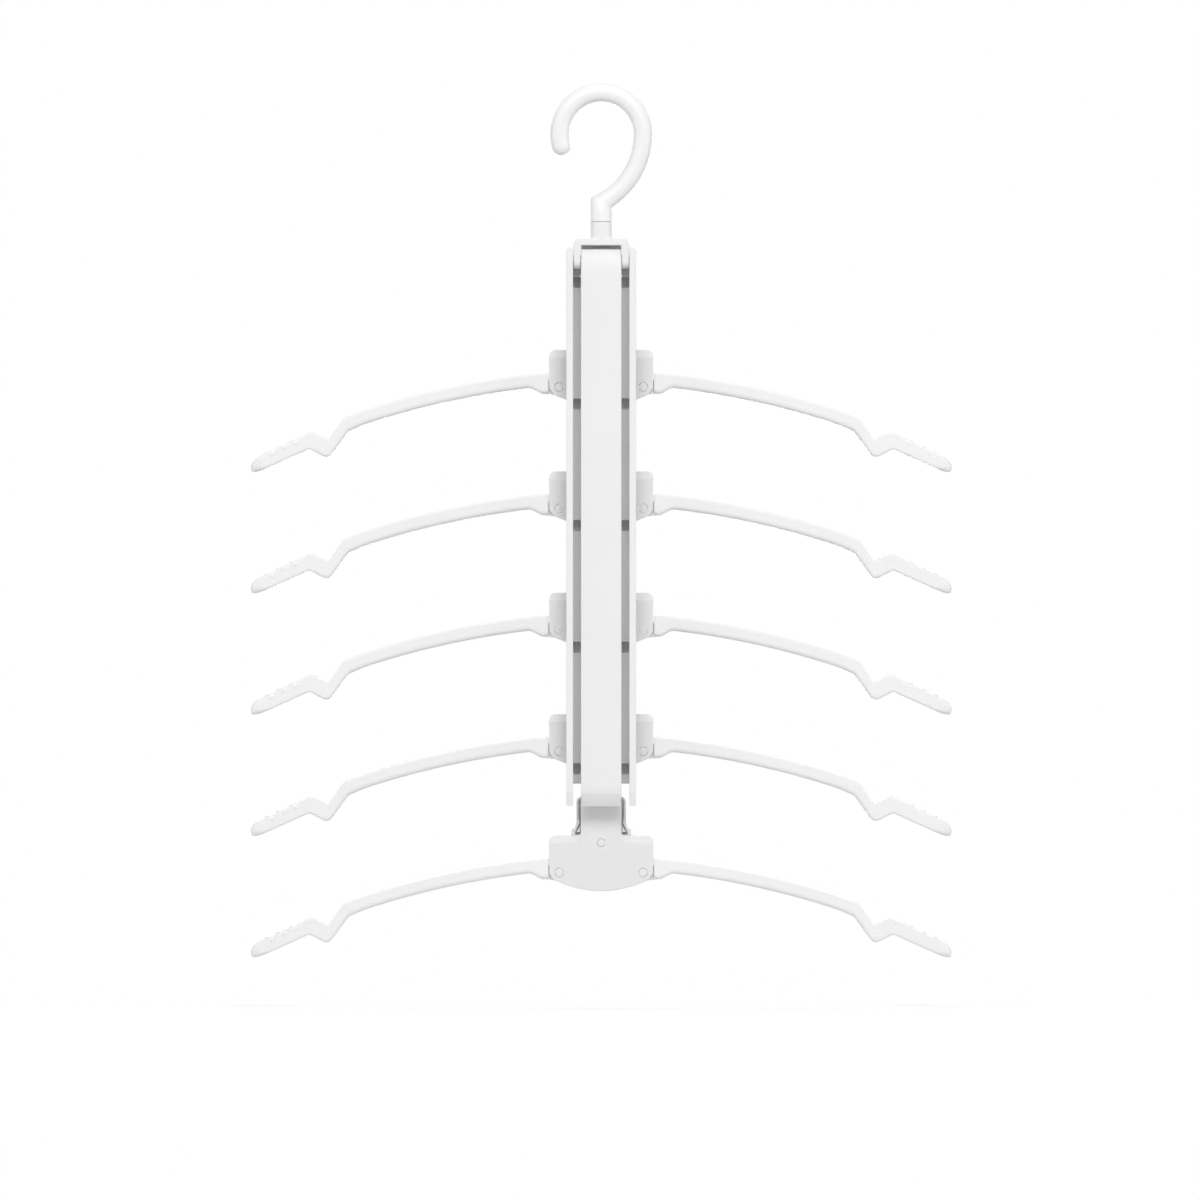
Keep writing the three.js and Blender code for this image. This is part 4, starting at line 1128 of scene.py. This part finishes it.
def arm_edges():
    """Matching stations on both edges, finely spaced on the paddle where the nubs are, and their runs."""
    upper, lower = shoulder_edges()
    top = edge_line(upper, TOP_CORNERS, TOP_FALL, ARM_REACH + TIP_LEAN)
    foot = edge_line(lower, FOOT_CORNERS, FOOT_FALL, ARM_REACH - TIP_LEAN)
    middle = (top + foot) / 2
    run = np.concatenate([[0], np.cumsum(np.linalg.norm(np.diff(middle, axis=0), axis=1))])
    knee = np.interp(SHOULDER_END, middle[:, 0], run)
    stations = np.concatenate([
        [0, ROOT_EDGE / 2],
        np.linspace(ROOT_EDGE, ROOT_RUN, 14),
        np.linspace(ROOT_RUN + STATION_STEP, knee, 24),
        np.linspace(knee, run[-1] - TIP_ROUND, 130)[1:],
        run[-1] - TIP_ROUND * (1 - np.sin(np.linspace(0, QUARTER, 14)[1:])),
    ])
    both = np.concatenate([top, foot], 1)
    spaced = np.stack([np.interp(stations, run, column) for column in both.T], 1)
    return spaced[:, :2], spaced[:, 2:], run[-1] - stations


top_edge, foot_edge, tip_distance = arm_edges()
line = (top_edge + foot_edge) / 2
print("arm edges:", len(line), "stations, from", line[0], "to", line[-1])

# %% Arm surface
ARM_WIDTH = 10.6
PADDLE_WIDTH = 9.6
TOP_ROUND = 0.8
BELLY_ROUND = 2.6
PADDLE_ROUND = 1.3
TIP_CORNER = 3.6
TIP_BLEND = 12.0
FLATS = (14, 10, 6, 10)
NUB_R = 1.5
NUB_H = 0.65
NUB_POWER = 1.5
NUB_ALONG = 3
CROWN_NUBS = (177.4, 184.4, 191.4)
FLANK_NUBS = (174.4, 181.0, 187.9)
FLANK_RISE = 2.6
EYE_R = 4.6
EYE_T = 6.0
WEB_HALF = 4.0
WEB_LAP = 1.0
EYE_GAP = 0.4
EYE_EDGE = 0.3
TIP_FLAT = 0.12
ROOT_SHRINK = 0.06
FAR_UP = 9.0
FAR_BACK = 20.0
arm_y = (plate_back + rear_front) / 2


def sections(width, height, top_round, foot_round):
    """A box with round corners for each station: quarter arcs, and even points along the flats between."""
    arcs = []
    for quarter, (side, end) in enumerate(((1, 1), (-1, 1), (-1, -1), (1, -1))):
        radius = (top_round if end > 0 else foot_round)[:, None]
        turn = (quarter + np.linspace(0, 1, 6)) * QUARTER
        across = side * (width[:, None] / 2 - radius) + radius * np.cos(turn)
        upward = end * (height[:, None] / 2 - radius) + radius * np.sin(turn)
        arcs.append(np.stack([across, upward], -1))
    loops = []
    for i, count in enumerate(FLATS):
        t = np.linspace(0, 1, count + 1)[1:-1, None]
        loops += [arcs[i], arcs[i][:, -1:] * (1 - t) + arcs[(i + 1) % 4][:, :1] * t]
    return np.concatenate(loops, 1)


def arm_skin():
    """Sections standing between the two edges, as an array of stations by corners by (x, y, z)."""
    x = line[:, 0]
    axis = top_edge - foot_edge
    height = np.linalg.norm(axis, axis=1)
    axis = axis / height[:, None]
    on_paddle = smooth(x, FOOT_CORNERS[0][0], FOOT_CORNERS[-1][0])
    width = ARM_WIDTH + (PADDLE_WIDTH - ARM_WIDTH) * on_paddle
    at_tip = 1 - smooth(tip_distance, 0, TIP_BLEND)
    top_round = TOP_ROUND + (TIP_CORNER - TOP_ROUND) * at_tip
    foot_round = BELLY_ROUND + (PADDLE_ROUND - BELLY_ROUND) * on_paddle
    foot_round = foot_round + (TIP_CORNER - foot_round) * at_tip
    ring = sections(width, height, top_round, foot_round)
    left = np.clip(tip_distance / TIP_ROUND, 0, 1)
    share = np.maximum(np.sqrt(1 - (1 - left) ** 2), TIP_FLAT)
    share = share * (1 - ROOT_SHRINK * (1 - smooth(x, ROOT_X, ROOT_X + ROOT_EDGE)))
    ring = ring * share[:, None, None]
    across = ring[..., 0]
    upward = ring[..., 1] - (TIP_SAG * (1 - share) * height * (x > SHOULDER_END) / 2)[:, None]
    run, rise = (line[:, [i]] + axis[:, [i]] * upward for i in (0, 1))
    return np.stack([run, arm_y + across, rise], -1)


def normals(surface):
    """Unit normals of a skin of rings: the cross product of its two directions."""
    along = np.gradient(surface, axis=0)
    around = np.roll(surface, -1, 1) - np.roll(surface, 1, 1)
    normal = np.cross(around, along)
    return normal / np.maximum(np.linalg.norm(normal, axis=-1, keepdims=True), 1e-9)


def nub_places(surface):
    """Centres of the nubs: one row on the crown and a staggered row on the flank that faces back."""
    flat = surface.reshape(-1, 3)
    wanted = [(x, arm_y, FAR_UP) for x in CROWN_NUBS]
    wanted += [(x, arm_y + FAR_BACK, FLANK_RISE) for x in FLANK_NUBS]
    centres = []
    for x, y, rise in wanted:
        middle = np.interp(x, line[:, 0], line[:, 1])
        target = np.array([x, y, middle + rise])
        gap = np.linalg.norm((flat - target) * np.array([NUB_ALONG, 1, 1]), axis=1)
        centres.append(flat[np.argmin(gap)])
    return np.array(centres)


def nubbed(surface):
    """The skin raised by a low dome round each nub's centre."""
    centres = nub_places(surface)
    distance = np.linalg.norm(surface[..., None, :] - centres, axis=-1).min(-1)
    dome = np.clip(1 - (distance / NUB_R) ** 2, 0, 1) ** NUB_POWER
    outward = normals(surface)
    ring = surface[len(surface) // 2]
    facing = np.sign((outward[len(surface) // 2] * (ring - ring.mean(0))).sum())
    return surface + facing * outward * (NUB_H * dome)[..., None]


def eye_shell():
    """The root eye and its web, a plate in the slot between the two bracket shells."""
    turn = np.linspace(QUARTER, 3 * QUARTER, 22)
    end = arc((pin_x, 0), EYE_R, turn)
    web = np.array([[ROOT_X + WEB_LAP, -WEB_HALF], [ROOT_X + WEB_LAP, WEB_HALF]])
    outline = np.concatenate([end, web])
    bore = circle(pin_x, 0, pin_r + EYE_GAP)
    return plate(outline, arm_y - EYE_T / 2, arm_y + EYE_T / 2, "Y", EYE_EDGE, [bore])


right_arm = [skin(nubbed(arm_skin())), eye_shell()]
left_arm = half_turned(right_arm, arm_y)
for tier in TIERS:
    for name, shells in (("left", left_arm), ("right", right_arm)):
        node = f"arm_{name}_{tier}"
        piece(f"tier_{tier}_{name}_arm", moved(shells, tier_z[tier]), arm_satin, node, node)
print("arms:", 2 * len(TIERS), "of", len(right_arm[0][1]), "faces")

# %% [markdown]
# ## The steel inside
# Pins, screws, springs and the swivel ring are right as solids, so they only take the zinc finish.

# %% Steel pieces
STEEL = ["swivel_ring", "yoke_pin"]
STEEL += [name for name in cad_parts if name.startswith(("bar_screw", "hinge_pin", "arm_spring"))]
for name in STEEL:
    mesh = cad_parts[name].data
    mesh.materials.clear()
    mesh.materials.append(zinc_steel)
print("steel pieces:", len(STEEL))

# %% [markdown]
# ## Camera, floor and light
# The photograph looks straight at the front through a long lens, with the hanger floating above a white
# floor that shows only a thin soft shadow. A distant camera with a narrow angle repeats that. The floor is
# white to the camera and in reflections by a little light of its own, which leaves the shadow in place.

# %% Camera
FRAME_PIXELS = 1200
PIXEL_MM = 0.568
MIDDLE_PIXEL_X = 601.2
CROWN_PIXEL_Y = 101.5
CAMERA_DISTANCE = 4.2
frame_width = FRAME_PIXELS * PIXEL_MM * MM
centre_x = (FRAME_PIXELS / 2 - MIDDLE_PIXEL_X) * PIXEL_MM * MM
centre_z = (CROWN_PIXEL_Y - FRAME_PIXELS / 2) * PIXEL_MM * MM
camera_data = bpy.data.cameras.new("camera")
camera_data.sensor_width = 36.0
camera_data.lens = camera_data.sensor_width * CAMERA_DISTANCE / frame_width
camera_data.clip_end = 100
camera = put("camera", camera_data)
camera.location = (centre_x, -CAMERA_DISTANCE, centre_z)
camera.rotation_euler = (QUARTER, 0, 0)
bpy.context.scene.camera = camera
print("lens", round(camera_data.lens, 1), "mm at", CAMERA_DISTANCE, "m")

# %% Floor and world
FLOOR_Z = -0.5165
FLOOR_X = 0.8
FLOOR_Y = (-1.0, 0.06)
FLOOR_COLOUR = (0.88, 0.88, 0.88, 1)
FLOOR_GLOW = 0.31
WORLD_LEVEL = 0.26


def camera_sees(tree):
    """1 for camera, glossy and transmission rays, else 0."""
    path = tree.nodes.new("ShaderNodeLightPath")
    first = maths(tree, "MAXIMUM", path.outputs["Is Camera Ray"], path.outputs["Is Glossy Ray"])
    return maths(tree, "MAXIMUM", first, path.outputs["Is Transmission Ray"])


def make_floor():
    """A large pale sheet below the object, with some light of its own, and clear when seen from below."""
    mesh = bpy.data.meshes.new("floor")
    near, far = FLOOR_Y
    corners = [(x, y, FLOOR_Z) for x, y in oblong(-FLOOR_X, FLOOR_X, near, far)]
    mesh.from_pydata(corners, [], [(0, 1, 2, 3)])
    made = put("floor", mesh)
    pale = bpy.data.materials.new("pale_floor")
    pale.use_nodes = True
    tree = pale.node_tree
    tree.nodes.clear()
    out = tree.nodes.new("ShaderNodeOutputMaterial")
    matt = tree.nodes.new("ShaderNodeBsdfDiffuse")
    matt.inputs["Color"].default_value = FLOOR_COLOUR
    glow = tree.nodes.new("ShaderNodeEmission")
    total = tree.nodes.new("ShaderNodeAddShader")
    share = maths(tree, "MULTIPLY", camera_sees(tree), FLOOR_GLOW)
    tree.links.new(share, glow.inputs["Strength"])
    tree.links.new(matt.outputs["BSDF"], total.inputs[0])
    tree.links.new(glow.outputs["Emission"], total.inputs[1])
    below = tree.nodes.new("ShaderNodeNewGeometry").outputs["Backfacing"]
    clear = tree.nodes.new("ShaderNodeBsdfTransparent")
    sided = tree.nodes.new("ShaderNodeMixShader")
    tree.links.new(below, sided.inputs["Fac"])
    tree.links.new(total.outputs["Shader"], sided.inputs[1])
    tree.links.new(clear.outputs["BSDF"], sided.inputs[2])
    tree.links.new(sided.outputs["Shader"], out.inputs["Surface"])
    mesh.materials.append(pale)


def make_world():
    """White to the camera and in reflections, and an even pale light on the object."""
    world = bpy.data.worlds.new("studio")
    world.use_nodes = True
    tree = world.node_tree
    background = tree.nodes["Background"]
    strength = ranged(tree, camera_sees(tree), 0.0, 1.0, WORLD_LEVEL, 1.0)
    background.inputs["Color"].default_value = (1, 1, 1, 1)
    tree.links.new(strength, background.inputs["Strength"])
    bpy.context.scene.world = world


make_floor()
make_world()


# %% Lamps
def lamp(name, place, aim, size, power):
    """A square soft box that looks at a point."""
    data = bpy.data.lights.new(name, "AREA")
    data.size = size
    data.energy = power
    made = put(name, data)
    made.location = place
    made.rotation_euler = (Vector(aim) - Vector(place)).to_track_quat("-Z", "Y").to_euler()


MIDDLE = (0, 0, centre_z)
lamp("key", (0.58, -1.95, 1.2), MIDDLE, 0.9, 21.4)
lamp("fill", (-0.54, -1.95, 1.2), MIDDLE, 0.9, 14.2)
lamp("top", (0, -0.04, 1.4), MIDDLE, 0.3, 4.5)
lamp("back", (0, 1.9, centre_z), MIDDLE, 0.9, 13.0)
for side in SIDES.values():
    lamp("side", (side * 1.6, -0.5, -0.1), MIDDLE, 0.8, 5.5)
bpy.context.scene.view_settings.view_transform = "Standard"
